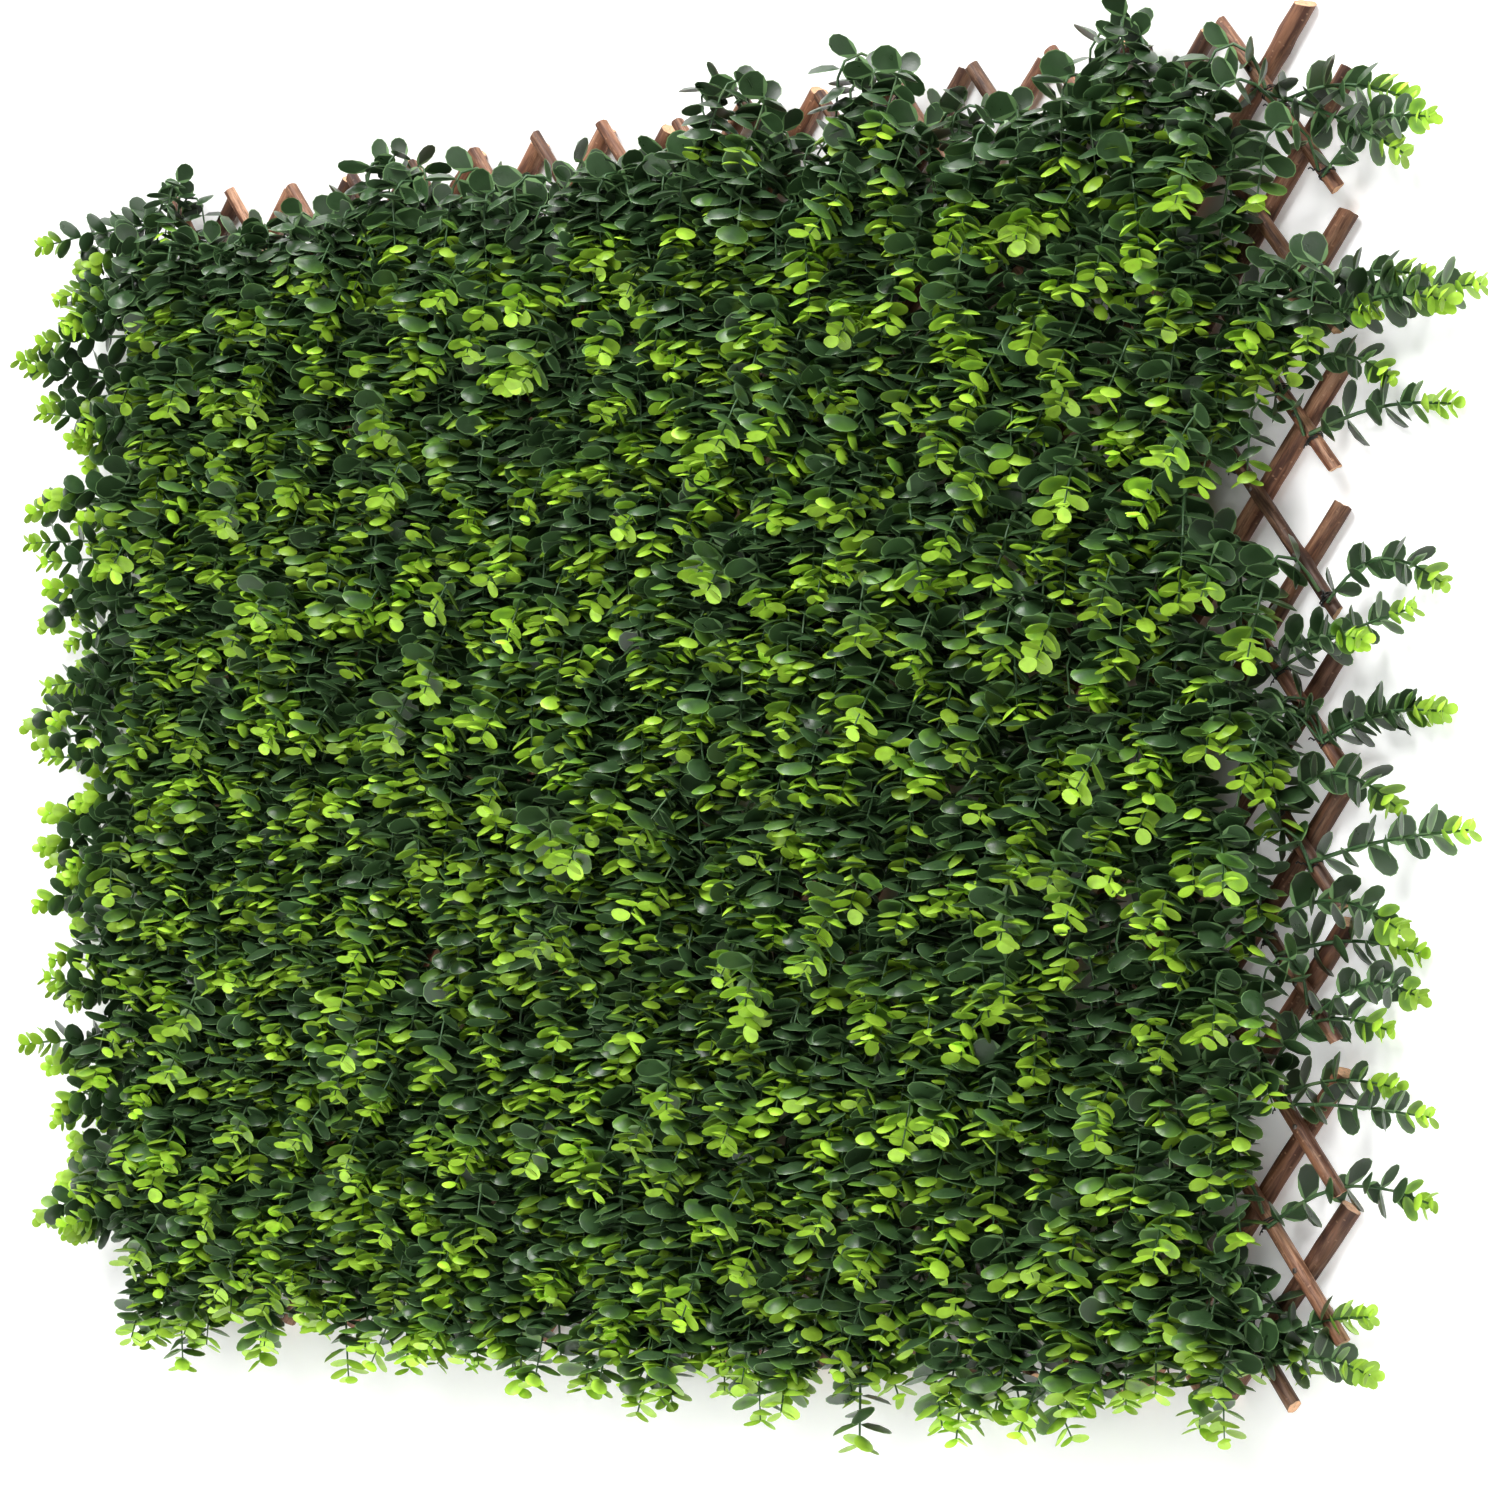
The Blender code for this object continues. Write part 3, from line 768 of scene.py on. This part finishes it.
def sprig_tree():
    """One sprig: leaves on the points that carry them, and a tapering stem along a curve."""
    if "Sprig" in bpy.data.node_groups:
        return bpy.data.node_groups["Sprig"]
    tree, given, out = shape_group(
        "Sprig",
        Geometry="Leaf Points",
        Object="Leaf, Stem Line",
        Float="Stem Thickness",
        Int="Stem Sides",
        Material="Leaf Material, Stem Material",
    )
    leaf = add(tree, "GeometryNodeObjectInfo", {"Object": given["Leaf"]}, output="Geometry")
    turn, size = carried(tree, "turn", "FLOAT_VECTOR"), carried(tree, "size", "FLOAT_VECTOR")
    leaves = painted(tree, copies(tree, given["Leaf Points"], leaf, turn, size), given["Leaf Material"])
    line = add(tree, "GeometryNodeObjectInfo", {"Object": given["Stem Line"]}, output="Geometry")
    line = carrying(tree, line, "age", add(tree, "GeometryNodeSplineParameter", {}))
    round_form = {"Resolution": given["Stem Sides"], "Radius": times(tree, given["Stem Thickness"], 0.5)}
    profile = add(tree, "GeometryNodeCurvePrimitiveCircle", round_form)
    thickness = add(tree, "GeometryNodeInputRadius", {})
    swept = {"Curve": line, "Profile Curve": profile, "Scale": thickness, "Fill Caps": True}
    stem = add(tree, "GeometryNodeCurveToMesh", swept)
    stem = add(tree, "GeometryNodeSetShadeSmooth", {"Geometry": stem, "Shade Smooth": True})
    stem = painted(tree, carrying(tree, stem, "stem", 1.0), given["Stem Material"])
    both = tree.nodes.new("GeometryNodeJoinGeometry")
    tree.links.new(leaves, both.inputs[0])
    tree.links.new(stem, both.inputs[0])
    tree.links.new(both.outputs[0], out["Geometry"])
    return tree


def grown_mesh(name, tree, base, values):
    """The plain mesh that a node tree makes of a base mesh. The helper object is removed."""
    helper = bpy.data.objects.new(f"{name}_points", base)
    bpy.context.scene.collection.objects.link(helper)
    change = helper.modifiers.new(tree.name, "NODES")
    change.node_group = tree
    for item in tree.interface.items_tree:
        if item.item_type == "SOCKET" and item.in_out == "INPUT" and item.name in values:
            change[item.identifier] = values[item.name]
    bpy.context.view_layer.update()
    graph = bpy.context.evaluated_depsgraph_get()
    mesh = bpy.data.meshes.new_from_object(helper.evaluated_get(graph), depsgraph=graph)
    mesh.name = name
    bpy.data.objects.remove(helper)
    bpy.data.meshes.remove(base)
    return mesh


def points_mesh(name, places, **values):
    """Loose points that carry named values for a node tree."""
    mesh = bpy.data.meshes.new(f"{name}_base")
    mesh.from_pydata([tuple(place) for place in places], [], [])
    for key, column in values.items():
        column = np.array(column)
        if column.ndim > 1:
            store(mesh, key, "FLOAT_VECTOR", column.astype(np.float32))
        elif column.dtype.kind == "i":
            store(mesh, key, "INT", column.astype(np.int32))
        else:
            store(mesh, key, "FLOAT", column.astype(np.float32))
    return mesh


def leaf_mesh():
    """A leaf of unit length and width along +X, thin at its rim and domed along its midrib."""
    points = [(0.0, 0.0, 0.0), (1.0, 0.0, 0.0)]
    rim = [1.0, 1.0]
    sides = []
    for sign in (1, -1):
        loop = []
        for along, width in LEAF_SIDE_SHARES:
            loop.append(len(points))
            points.append((along, sign * width / 2, 0.0))
            rim.append(1.0)
        sides.append([0, *loop, 1])
    ridges = []
    for shares, top in LEAF_RIDGES:
        loop = []
        for along in shares:
            loop.append(len(points))
            points.append((along, 0.0, top * math.sin(math.pi * along) ** 0.5))
            rim.append(0.0)
        ridges.append([0, *loop, 1])
    faces = []
    for upper, ridge in ((True, ridges[0]), (False, ridges[1])):
        for left, side in ((True, sides[0]), (False, sides[1])):
            for corners in strip(points, ridge, side):
                faces.append(corners if left == upper else corners[::-1])
    mesh = bpy.data.meshes.new("leaf_shape")
    mesh.from_pydata(points, [], faces)
    mesh.materials.append(leaf_material())
    store(mesh, "rim", "FLOAT", rim)
    mesh.shade_smooth()
    rim_points = set(sides[0]) | set(sides[1])
    mesh.edges.foreach_set("use_edge_sharp", [set(e.vertices) <= rim_points for e in mesh.edges])
    return mesh


def strip(points, ridge, side):
    """Triangles between a leaf's ridge and its side, two rows of points that share both their ends."""
    faces = []
    i = j = 0
    while i + j < len(ridge) + len(side) - 2:
        ridge_left, side_left = i < len(ridge) - 1, j < len(side) - 1
        if ridge_left and (not side_left or points[ridge[i + 1]][0] < points[side[j + 1]][0]):
            corners = (ridge[i], ridge[i + 1], side[j])
            i += 1
        else:
            corners = (ridge[i], side[j + 1], side[j])
            j += 1
        if len(set(corners)) == len(corners):
            faces.append(corners)
    return faces


def stem_line(chance, look, reaching):
    """The points of a stem in steps from its root, with its direction at each. It rises from its tie
    and then falls. Rise, fall and sway are in degrees."""
    if reaching:
        rise, fall = chance.uniform(0, 48), chance.uniform(-45, 5)
        bend_from, bend_to = 0.0, 0.9
        length, sway = look.sprig_length * chance.uniform(0.74, 0.98), chance.uniform(-16, 16)
    else:
        rise, fall = chance.uniform(50, 80), chance.uniform(-96, -56)
        bend_from, bend_to = 0.05, chance.uniform(0.42, 0.66)
        length, sway = look.sprig_length * chance.uniform(0.86, 1.06), chance.uniform(-45, 45)
    place = Vector()
    found = []
    for step in range(STEM_STEPS + 1):
        share = step / STEM_STEPS
        bent = min(1.0, max(0.0, (share - bend_from) / (bend_to - bend_from)))
        height = math.radians(rise + (fall - rise) * bent * bent * (3 - 2 * bent))
        aside = math.radians(sway) * share
        flat = math.cos(height)
        direction = Vector((math.sin(aside) * flat, -math.cos(aside) * flat, math.sin(height)))
        found.append((place.copy(), direction))
        place += direction * length / STEM_STEPS
    return found


def along_line(line, share):
    """The place and direction at a share of a line's length."""
    at = min(share * (len(line) - 1), len(line) - 1.001)
    step = int(at)
    rest = at - step
    place = line[step][0].lerp(line[step + 1][0], rest)
    return place, line[step][1].lerp(line[step + 1][1], rest).normalized()


def pair_shares(pairs, bare_share):
    """Where the pairs of leaves sit on a stem. Their gaps shrink towards the tip."""
    gaps = [GAP_SHRINK_SHARE**k for k in range(pairs - 1)]
    scale = (1 - bare_share) / sum(gaps)
    shares = [bare_share]
    for gap in gaps:
        shares.append(shares[-1] + gap * scale)
    return shares


def leaf_turn(direction, side, tilt, roll):
    """The turn of a leaf that leaves its stem sideways and tilts towards the stem's tip."""
    along = (side * math.cos(tilt) + direction * math.sin(tilt)).normalized()
    facing = (side * math.sin(tilt) - direction * math.cos(tilt)).normalized()
    facing = Matrix.Rotation(roll, 3, along) @ facing
    return Matrix((along, facing.cross(along), facing)).transposed().to_euler()


def sprig_leaves(chance, look, line, reaching):
    """Place, turn, size, age and shade of each of a sprig's leaves, in pairs set crosswise."""
    found = []
    pairs = look.pairs + (2 if reaching else 0)
    first_young = chance.uniform(4.2, 6.4) if reaching else chance.uniform(4.2, 5.9)
    start = chance.uniform(0, math.pi)
    shares = pair_shares(pairs, look.bare_share * (0.5 if reaching else 1))
    for k, share in enumerate(shares):
        place, direction = along_line(line, share)
        age = min(1.0, max(0.0, (k - first_young + 0.7) / 2.2))
        growth = 1.0 if k < first_young else 0.88 - 0.42 * (k - first_young) / (pairs - first_young)
        growth *= 0.86 if k == 0 else 1.0
        growth *= 0.92 - 0.22 * share if reaching else 1.0
        angle = start + k * math.pi / 2 + chance.uniform(-0.3, 0.3)
        across = Matrix.Rotation(angle, 3, direction) @ direction.orthogonal().normalized()
        for side in (across, -across):
            tilt = math.radians(chance.uniform(4, 30) + 8 * age + (14 if reaching else 0))
            roll = math.radians(chance.gauss(0, 11 if reaching else 18))
            length = look.leaf_length * growth * chance.uniform(0.88, 1.1)
            width = length * look.leaf_width_share * chance.uniform(0.92, 1.08)
            size = (length, width, length * look.dome_share * chance.uniform(0.7, 1.5))
            spot = place + side * look.stem_thickness * 0.2
            turn = tuple(leaf_turn(direction, side, tilt, roll))
            found.append((spot, turn, size, age, chance.random()))
    return found


def stem_object(name, line):
    """A stem's line as a curve, thick at the root and thin at the tip."""
    curve = bpy.data.curves.new(name, "CURVE")
    curve.dimensions = "3D"
    spline = curve.splines.new("POLY")
    spline.points.add(len(line) - 1)
    for step, (place, _) in enumerate(line):
        spline.points[step].co = (*place, 1.0)
        spline.points[step].radius = 1.0 - 0.5 * step / (len(line) - 1)
    return bpy.data.objects.new(name, curve)


def make_sprig_kinds():
    """The different sprigs, as a collection outside the scene: hanging ones, then reaching ones."""
    look = bpy.context.scene.trellis_leaves
    kinds = bpy.data.collections.new("sprig_kinds")
    leaf = bpy.data.objects.new("leaf_shape", leaf_mesh())
    for k in range(look.hanging_kinds + look.reaching_kinds):
        name = f"sprig_kind_{k:02d}"
        chance = random.Random(f"{name} {look.seed}")
        reaching = k >= look.hanging_kinds
        line = stem_line(chance, look, reaching)
        places, turns, sizes, ages, shades = zip(*sprig_leaves(chance, look, line, reaching))
        base = points_mesh(name, places, turn=turns, size=sizes, age=ages, shade=shades)
        stem = stem_object(f"{name}_stem", line)
        values = {
            "Leaf": leaf,
            "Stem Line": stem,
            "Stem Thickness": look.stem_thickness,
            "Stem Sides": look.stem_sides,
            "Leaf Material": leaf_material(),
            "Stem Material": stem_material(),
        }
        mesh = grown_mesh(name, sprig_tree(), base, values)
        kinds.objects.link(bpy.data.objects.new(name, mesh))
        bpy.data.objects.remove(stem)
    bpy.data.objects.remove(leaf)
    return kinds


def drop_collection(kinds):
    """Removes a collection of kinds that has been used up."""
    for obj in list(kinds.objects):
        bpy.data.objects.remove(obj)
    bpy.data.collections.remove(kinds)


def tie_places(stick, share):
    """Where wires tie sprigs to a front stick: on both sides of the middle between crossings. Some
    near the right side are left out."""
    chance = random.Random(f"{stick.body} places")
    places = []
    for at in stick.crossings():
        places.append(at + stick.along * SPACING * share)
        after = at + stick.along * SPACING * (1 - share)
        if (stick.end - after).dot(stick.along) > SPACING * share / 2:
            places.append(after)
    above = stick.crossings()[0] - stick.along * SPACING * share * 1.5
    if abs(above.x) > COLUMNS * HALF_COLUMN * 0.9 or chance.random() < 0.3:
        places.insert(0, above)
    return [place for place in places if place.x < SIDE_FROM or chance.random() < 0.75]


def sprigs_at(place, chance, look):
    """Turn, size and pick of each sprig in one bundle. Those at the sides reach outwards."""
    found = []
    at_side = abs(place.x) > SIDE_FROM
    at_top = place.z > TOP_FROM
    at_bottom = place.z < BOTTOM_FROM
    thin = chance.random() < look.thinned_share * max(0.0, place.x / HALF_WIDTH)
    count = look.sprigs_per_tie + (-2 if thin else 1 if at_bottom or at_side else 0)
    if at_side and place.x < 0:
        count += 1
    for k in range(count):
        fan = (k + 0.5) / count * 2 - 1
        aside = fan * 82 + chance.uniform(-22, 22)
        reaching = at_side and fan * place.x > 0
        if reaching:
            aside = chance.uniform(80, 110) if place.x > 0 else -chance.uniform(52, 92)
        tip = chance.uniform(8, 38) if at_top else chance.uniform(-14, 14)
        lean = chance.uniform(-12, 12)
        turn = (math.radians(tip), math.radians(lean), math.radians(aside))
        size = 1.14 if reaching else 1.0
        if reaching:
            pick = look.hanging_kinds + chance.randrange(look.reaching_kinds)
        else:
            pick = chance.randrange(look.hanging_kinds)
        found.append((turn, size, pick))
    return found


def sprig_points(stick, look, share):
    """Every sprig of one front stick, as points for the scatter tree."""
    chance = random.Random(f"{stick.body} {look.seed}")
    places, turns, sizes, picks, tones = [], [], [], [], []
    front = stick.depth - stick.radius
    for tie in tie_places(stick, share):
        for turn, size, pick in sprigs_at(tie, chance, look):
            aside = stick.across * chance.uniform(-0.5, 0.5) * stick.radius
            slide = stick.along * chance.uniform(-0.006, 0.006)
            spot = tie + aside + slide
            places.append((spot.x, front - look.stem_thickness * chance.uniform(0.2, 0.7), spot.z))
            turns.append(turn)
            sizes.append(size)
            picks.append(pick)
            tones.append(chance.random())
    return points_mesh(stick.body, places, turn=turns, size=sizes, pick=picks, tone=tones)


def press_on_wall(mesh):
    """Flattens whatever comes within a finger's width of the wall against it."""
    places = np.empty(3 * len(mesh.vertices), dtype=np.float32)
    mesh.vertices.foreach_get("co", places)
    depths = places[1::3]
    near = depths > -WALL_NEARNESS
    room = 0.8 * WALL_NEARNESS
    depths[near] = -WALL_NEARNESS + room * (1 - np.exp(-(depths[near] + WALL_NEARNESS) / room))
    mesh.vertices.foreach_set("co", places)


def make_sprigs():
    """The sprigs of each front stick. They crowd together across the stick as the lattice folds."""
    look = bpy.context.scene.trellis_leaves
    share = bpy.context.scene.trellis_fixings.tie_share
    kinds = make_sprig_kinds()
    rows = sprig_row_bodies()
    for stick in sticks_of("front"):
        name = f"sprigs_{stick.index:02d}"
        values = {
            "Pieces": kinds,
            "Size Spread": look.size_spread,
            "Seed": look.seed + stick.index,
            "Material": leaf_material(),
            "Stem Material": stem_material(),
        }
        mesh = grown_mesh(name, scatter_tree(), sprig_points(stick, look, share), values)
        press_on_wall(mesh)
        sprigs = piece(name, mesh, stick.body, "leaf_plastic", *rows.get(stick.body, ()))
        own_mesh(sprigs)
    drop_collection(kinds)


def sprig_row_bodies():
    """{body: its CAD sprig rows}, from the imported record."""
    bodies = frame["record"]["behaviour"]["bodies"]
    return {body: [n for n in nodes if n in FOLIAGE_NODES] for body, nodes in bodies.items()}


def nail_head_mesh(look):
    """A low dome with a short neck that goes into the wood."""
    profile = ((1.0, -0.6), (1.0, 0.25), (0.72, 0.8), (0.0, 1.0))
    form = bmesh.new()
    points = [
        form.verts.new((radius * look.head_width / 2, -height * look.head_height, 0))
        for radius, height in profile
    ]
    edges = [form.edges.new(pair) for pair in zip(points, points[1:])]
    bmesh.ops.spin(
        form, geom=points + edges, axis=(0, 1, 0), cent=(0, 0, 0), angle=math.tau, steps=9, use_merge=True
    )
    bmesh.ops.remove_doubles(form, verts=form.verts, dist=1e-6)
    bmesh.ops.holes_fill(form, edges=form.edges)
    mesh = bpy.data.meshes.new("nail_head")
    form.to_mesh(mesh)
    form.free()
    face_outwards(mesh, 60)
    return mesh


def tie_mesh(name, look, stick, chance):
    """A wire that winds round a stick along X and ends in a short twisted tail."""
    curve = bpy.data.curves.new(name, "CURVE")
    curve.dimensions = "3D"
    curve.bevel_depth = look.wire / 2
    curve.bevel_resolution = 0
    curve.use_fill_caps = True
    reach = stick.radius + look.wire / 2
    winding = []
    for step in range(round(look.turns * WIRE_STEPS) + 1):
        turn = step / WIRE_STEPS
        angle = math.tau * turn - math.pi / 2
        slip = (turn - look.turns / 2) * look.turn_pitch + chance.uniform(-0.2, 0.2) * look.wire
        winding.append((slip, math.sin(angle) * reach, math.cos(angle) * reach))
    lean = Vector((chance.uniform(-1, 1), -1, chance.uniform(-1, 1))).normalized()
    tail = []
    for step in range(TAIL_STEPS + 1):
        angle = step * 2.2
        twist = Vector((math.cos(angle), 0, math.sin(angle))) * look.wire * 0.7
        tail.append(Vector((0, -reach * 0.85, 0)) + lean * look.tail * step / TAIL_STEPS + twist)
    for line in (winding, tail):
        spline = curve.splines.new("POLY")
        spline.points.add(len(line) - 1)
        for point, place in zip(spline.points, line):
            point.co = (*place, 1.0)
    helper = bpy.data.objects.new(name, curve)
    graph = bpy.context.evaluated_depsgraph_get()
    mesh = bpy.data.meshes.new_from_object(helper.evaluated_get(graph), depsgraph=graph)
    mesh.name = name
    bpy.data.objects.remove(helper)
    bpy.data.curves.remove(curve)
    mesh.shade_smooth()
    return mesh


def scatter_on(stick, name, kinds, places, turns, picks, spread, surface, slot):
    """A piece on a stick's body, made of small shapes of one material at the given places."""
    base = points_mesh(stick.body, places, turn=turns, size=[1.0] * len(places), pick=picks)
    values = {
        "Pieces": kinds,
        "Size Spread": spread,
        "Seed": stick.index,
        "Material": surface,
        "Stem Material": surface,
    }
    mesh = grown_mesh(f"{name}_{stick.index:02d}", scatter_tree(), base, values)
    piece(mesh.name, mesh, stick.body, slot)


def make_nails():
    """A nail's head at each crossing, on the front stick that it goes through."""
    look = bpy.context.scene.trellis_fixings
    heads = bpy.data.collections.new("nail_kinds")
    heads.objects.link(bpy.data.objects.new("nail_kind_00", nail_head_mesh(look)))
    for stick in sticks_of("front"):
        chance = random.Random(f"{stick.body} nails")
        front = stick.depth - stick.radius * 0.97
        places = [(at.x, front, at.z) for at in stick.crossings() if at.x or at.z]
        turns = [(chance.uniform(-0.15, 0.15), 0.0, chance.uniform(-0.15, 0.15)) for _ in places]
        picks = [0] * len(places)
        scatter_on(stick, "nails", heads, places, turns, picks, 0.08, steel_material(), "screw_steel")
    drop_collection(heads)


def make_tie_wires():
    """The wires that tie the sprigs to the front sticks."""
    look = bpy.context.scene.trellis_fixings
    sticks = sticks_of("front")
    ties = bpy.data.collections.new("tie_kinds")
    for k in range(TIE_KINDS):
        name = f"tie_kind_{k:02d}"
        mesh = tie_mesh(name, look, sticks[0], random.Random(name))
        ties.objects.link(bpy.data.objects.new(name, mesh))
    for stick in sticks:
        chance = random.Random(f"{stick.body} ties")
        places = tie_places(stick, look.tie_share)
        turns = [(0.0, LEAN + chance.uniform(-0.12, 0.12), 0.0) for _ in places]
        picks = [chance.randrange(TIE_KINDS) for _ in places]
        scatter_on(stick, "ties", ties, places, turns, picks, 0.0, wire_material(), "tie_wire")
    drop_collection(ties)


def dress_screw():
    """The middle screw keeps its CAD shape and gets its steel."""
    screw = frame["nodes"]["centre_screw"]
    for place in screw.material_slots:
        place.material = steel_material()
    if not screw.material_slots:
        screw.data.materials.append(steel_material())


def plane(name, corners, surface):
    """A flat of the stage."""
    mesh = bpy.data.meshes.new(name)
    mesh.from_pydata(corners, [], [(0, 1, 2, 3)])
    mesh.materials.append(surface)
    obj = bpy.data.objects.new(name, mesh)
    bpy.context.scene.collection.objects.link(obj)


def painted_glow_ramp(tree, place, axis, reach, shift):
    """The mask of the painted glow on wall and floor: it grows from nothing over the lattice to 1 at some
    way past its edge, along one axis.
    """
    apart = add(tree, "ShaderNodeSeparateXYZ", {"Vector": place}, output=axis)
    apart = maths(tree, "ABSOLUTE", plus(tree, apart, shift))
    return ramp(tree, apart, reach, reach + PAINTED_GLOW_WIDTH)


def stage_material(name, colour, white, one_sided):
    """Pale paint with a painted glow, seen only by the camera, that whitens it away from the lattice.
    From behind, the wall lets the eye through, and light too."""
    made = bpy.data.materials.new(name)
    made.use_nodes = True
    tree = made.node_tree
    tree.nodes.clear()
    rays = tree.nodes.new("ShaderNodeLightPath")
    place = add(tree, "ShaderNodeTexCoord", {}, output="Object")
    aside = painted_glow_ramp(tree, place, "X", HALF_WIDTH, PAINTED_GLOW_SHIFT)
    away = maths(tree, "MAXIMUM", aside, painted_glow_ramp(tree, place, "Z", HALF_HEIGHT, 0.0))
    # Painted glow: light seen only by the camera, growing away from the lattice, that whitens wall and
    # floor there
    painted_glow_level = times(tree, times(tree, away, white), rays.outputs["Is Camera Ray"])
    paint = add(tree, "ShaderNodeBsdfDiffuse", {"Color": rgba(colour)})
    painted_glow_shader = add(tree, "ShaderNodeEmission", {"Color": (1.0, 1.0, 1.0, 1.0), "Strength": painted_glow_level})
    result = add(tree, "ShaderNodeAddShader", {0: paint, 1: painted_glow_shader})
    if one_sided:
        back = add(tree, "ShaderNodeNewGeometry", {}, output="Backfacing")
        through = maths(tree, "MAXIMUM", back, rays.outputs["Is Shadow Ray"])
        clear = add(tree, "ShaderNodeBsdfTransparent", {})
        result = add(tree, "ShaderNodeMixShader", {0: through, 1: result, 2: clear})
    out = tree.nodes.new("ShaderNodeOutputMaterial")
    tree.links.new(result, out.inputs["Surface"])
    return made


def make_sky(strength):
    """Even light all round, seen by the eye and by rays through clear things as white."""
    world = bpy.data.worlds.new("studio")
    world.use_nodes = True
    tree = world.node_tree
    rays = tree.nodes.new("ShaderNodeLightPath")
    seen = maths(tree, "MAXIMUM", rays.outputs["Is Camera Ray"], rays.outputs["Is Transmission Ray"])
    level = ramp(tree, seen, 0.0, 1.0, strength, 1.0)
    tree.links.new(level, tree.nodes["Background"].inputs["Strength"])
    tree.nodes["Background"].inputs["Color"].default_value = (1.0, 1.0, 1.0, 1.0)
    bpy.context.scene.world = world


def area_lamp(name, place, size, power):
    """A square lamp aimed at the middle of the trellis."""
    lamp = bpy.data.lights.new(name, "AREA")
    lamp.shape = "SQUARE"
    lamp.size = size
    lamp.energy = power
    obj = bpy.data.objects.new(name, lamp)
    obj.location = place
    obj.rotation_euler = (-Vector(place)).to_track_quat("-Z", "Y").to_euler()
    bpy.context.scene.collection.objects.link(obj)


def make_camera(look):
    camera = bpy.data.objects.new("camera", bpy.data.cameras.new("camera"))
    camera.data.lens = look.lens
    camera.data.sensor_width = 36.0
    camera.data.clip_end = 100.0
    turn = Matrix.Rotation(look.camera_turn, 4, "Z")
    turn = turn @ Matrix.Rotation(math.pi / 2 + look.camera_pitch, 4, "X")
    turn = turn @ Matrix.Rotation(look.camera_roll, 4, "Z")
    camera.matrix_world = Matrix.Translation(look.camera_place) @ turn
    bpy.context.scene.collection.objects.link(camera)
    bpy.context.scene.camera = camera


class TrellisOperator:
    """What all these operators share."""

    bl_options = {"REGISTER", "UNDO"}


class TRELLIS_OT_back_sticks(TrellisOperator, bpy.types.Operator):
    """Makes the thick willow sticks of the back layer"""

    bl_idname = "trellis.back_sticks"
    bl_label = "Back sticks"

    def execute(self, context):
        make_sticks("back")
        return {"FINISHED"}


class TRELLIS_OT_front_sticks(TrellisOperator, bpy.types.Operator):
    """Makes the thin willow sticks of the front layer"""

    bl_idname = "trellis.front_sticks"
    bl_label = "Front sticks"

    def execute(self, context):
        make_sticks("front")
        return {"FINISHED"}


class TRELLIS_OT_nails(TrellisOperator, bpy.types.Operator):
    """Puts a nail's head at each crossing and finishes the middle screw"""

    bl_idname = "trellis.nails"
    bl_label = "Nails and screw"

    def execute(self, context):
        make_nails()
        dress_screw()
        return {"FINISHED"}


class TRELLIS_OT_tie_wires(TrellisOperator, bpy.types.Operator):
    """Winds the tie wires round the front sticks"""

    bl_idname = "trellis.tie_wires"
    bl_label = "Tie wires"

    def execute(self, context):
        make_tie_wires()
        return {"FINISHED"}


class TRELLIS_OT_sprigs(TrellisOperator, bpy.types.Operator):
    """Hangs the sprigs of leaves from their ties"""

    bl_idname = "trellis.sprigs"
    bl_label = "Leaf sprigs"

    def execute(self, context):
        make_sprigs()
        return {"FINISHED"}


class TRELLIS_OT_stage(TrellisOperator, bpy.types.Operator):
    """Sets up the wall, floor, lamps and camera"""

    bl_idname = "trellis.stage"
    bl_label = "Stage"

    def execute(self, context):
        look = context.scene.trellis_stage
        half = look.wall_size / 2
        floor = CAD_BOX[0].z - look.floor_drop
        wall = stage_material("wall_paint", look.wall_colour, look.wall_painted_glow, True)
        around = ((-half, floor), (half, floor), (half, half), (-half, half))
        plane("wall", [(x, WALL_GAP, z) for x, z in around], wall)
        ground = stage_material("floor_paint", look.wall_colour, look.wall_painted_glow, False)
        around = ((-half, -half), (half, -half), (half, half), (-half, half))
        plane("floor", [(x, y, floor) for x, y in around], ground)
        make_sky(look.sky)
        for name, place, width, power in LAMPS:
            area_lamp(name, place, width, getattr(look, power))
        make_camera(look)
        context.scene.view_settings.view_transform = "Standard"
        return {"FINISHED"}


OPERATORS = (
    TRELLIS_OT_back_sticks,
    TRELLIS_OT_front_sticks,
    TRELLIS_OT_nails,
    TRELLIS_OT_tie_wires,
    TRELLIS_OT_sprigs,
    TRELLIS_OT_stage,
)
GROUPS = {
    "trellis_sticks": TrellisSticks,
    "trellis_fixings": TrellisFixings,
    "trellis_leaves": TrellisLeaves,
    "trellis_stage": TrellisStage,
}


class VIEW3D_PT_trellis(bpy.types.Panel):
    """The trellis's steps and sizes"""

    bl_label = "Hedge trellis"
    bl_space_type = "VIEW_3D"
    bl_region_type = "UI"
    bl_category = "Trellis"

    def draw(self, context):
        for operator in OPERATORS:
            self.layout.operator(operator.bl_idname)
        for attribute, kind in GROUPS.items():
            box = self.layout.box()
            for name in kind.__annotations__:
                box.prop(getattr(context.scene, attribute), name)


def register():
    for kind in (*GROUPS.values(), *OPERATORS, VIEW3D_PT_trellis):
        bpy.utils.register_class(kind)
    for attribute, kind in GROUPS.items():
        setattr(bpy.types.Scene, attribute, PointerProperty(type=kind))


def unregister():
    for attribute in GROUPS:
        delattr(bpy.types.Scene, attribute)
    for kind in (*GROUPS.values(), *OPERATORS, VIEW3D_PT_trellis):
        bpy.utils.unregister_class(kind)


def main():
    register()
    bpy.ops.trellis.back_sticks()
    bpy.ops.trellis.front_sticks()
    bpy.ops.trellis.nails()
    bpy.ops.trellis.tie_wires()
    bpy.ops.trellis.sprigs()
    bpy.ops.trellis.stage()


if __name__ == "__main__":
    main()
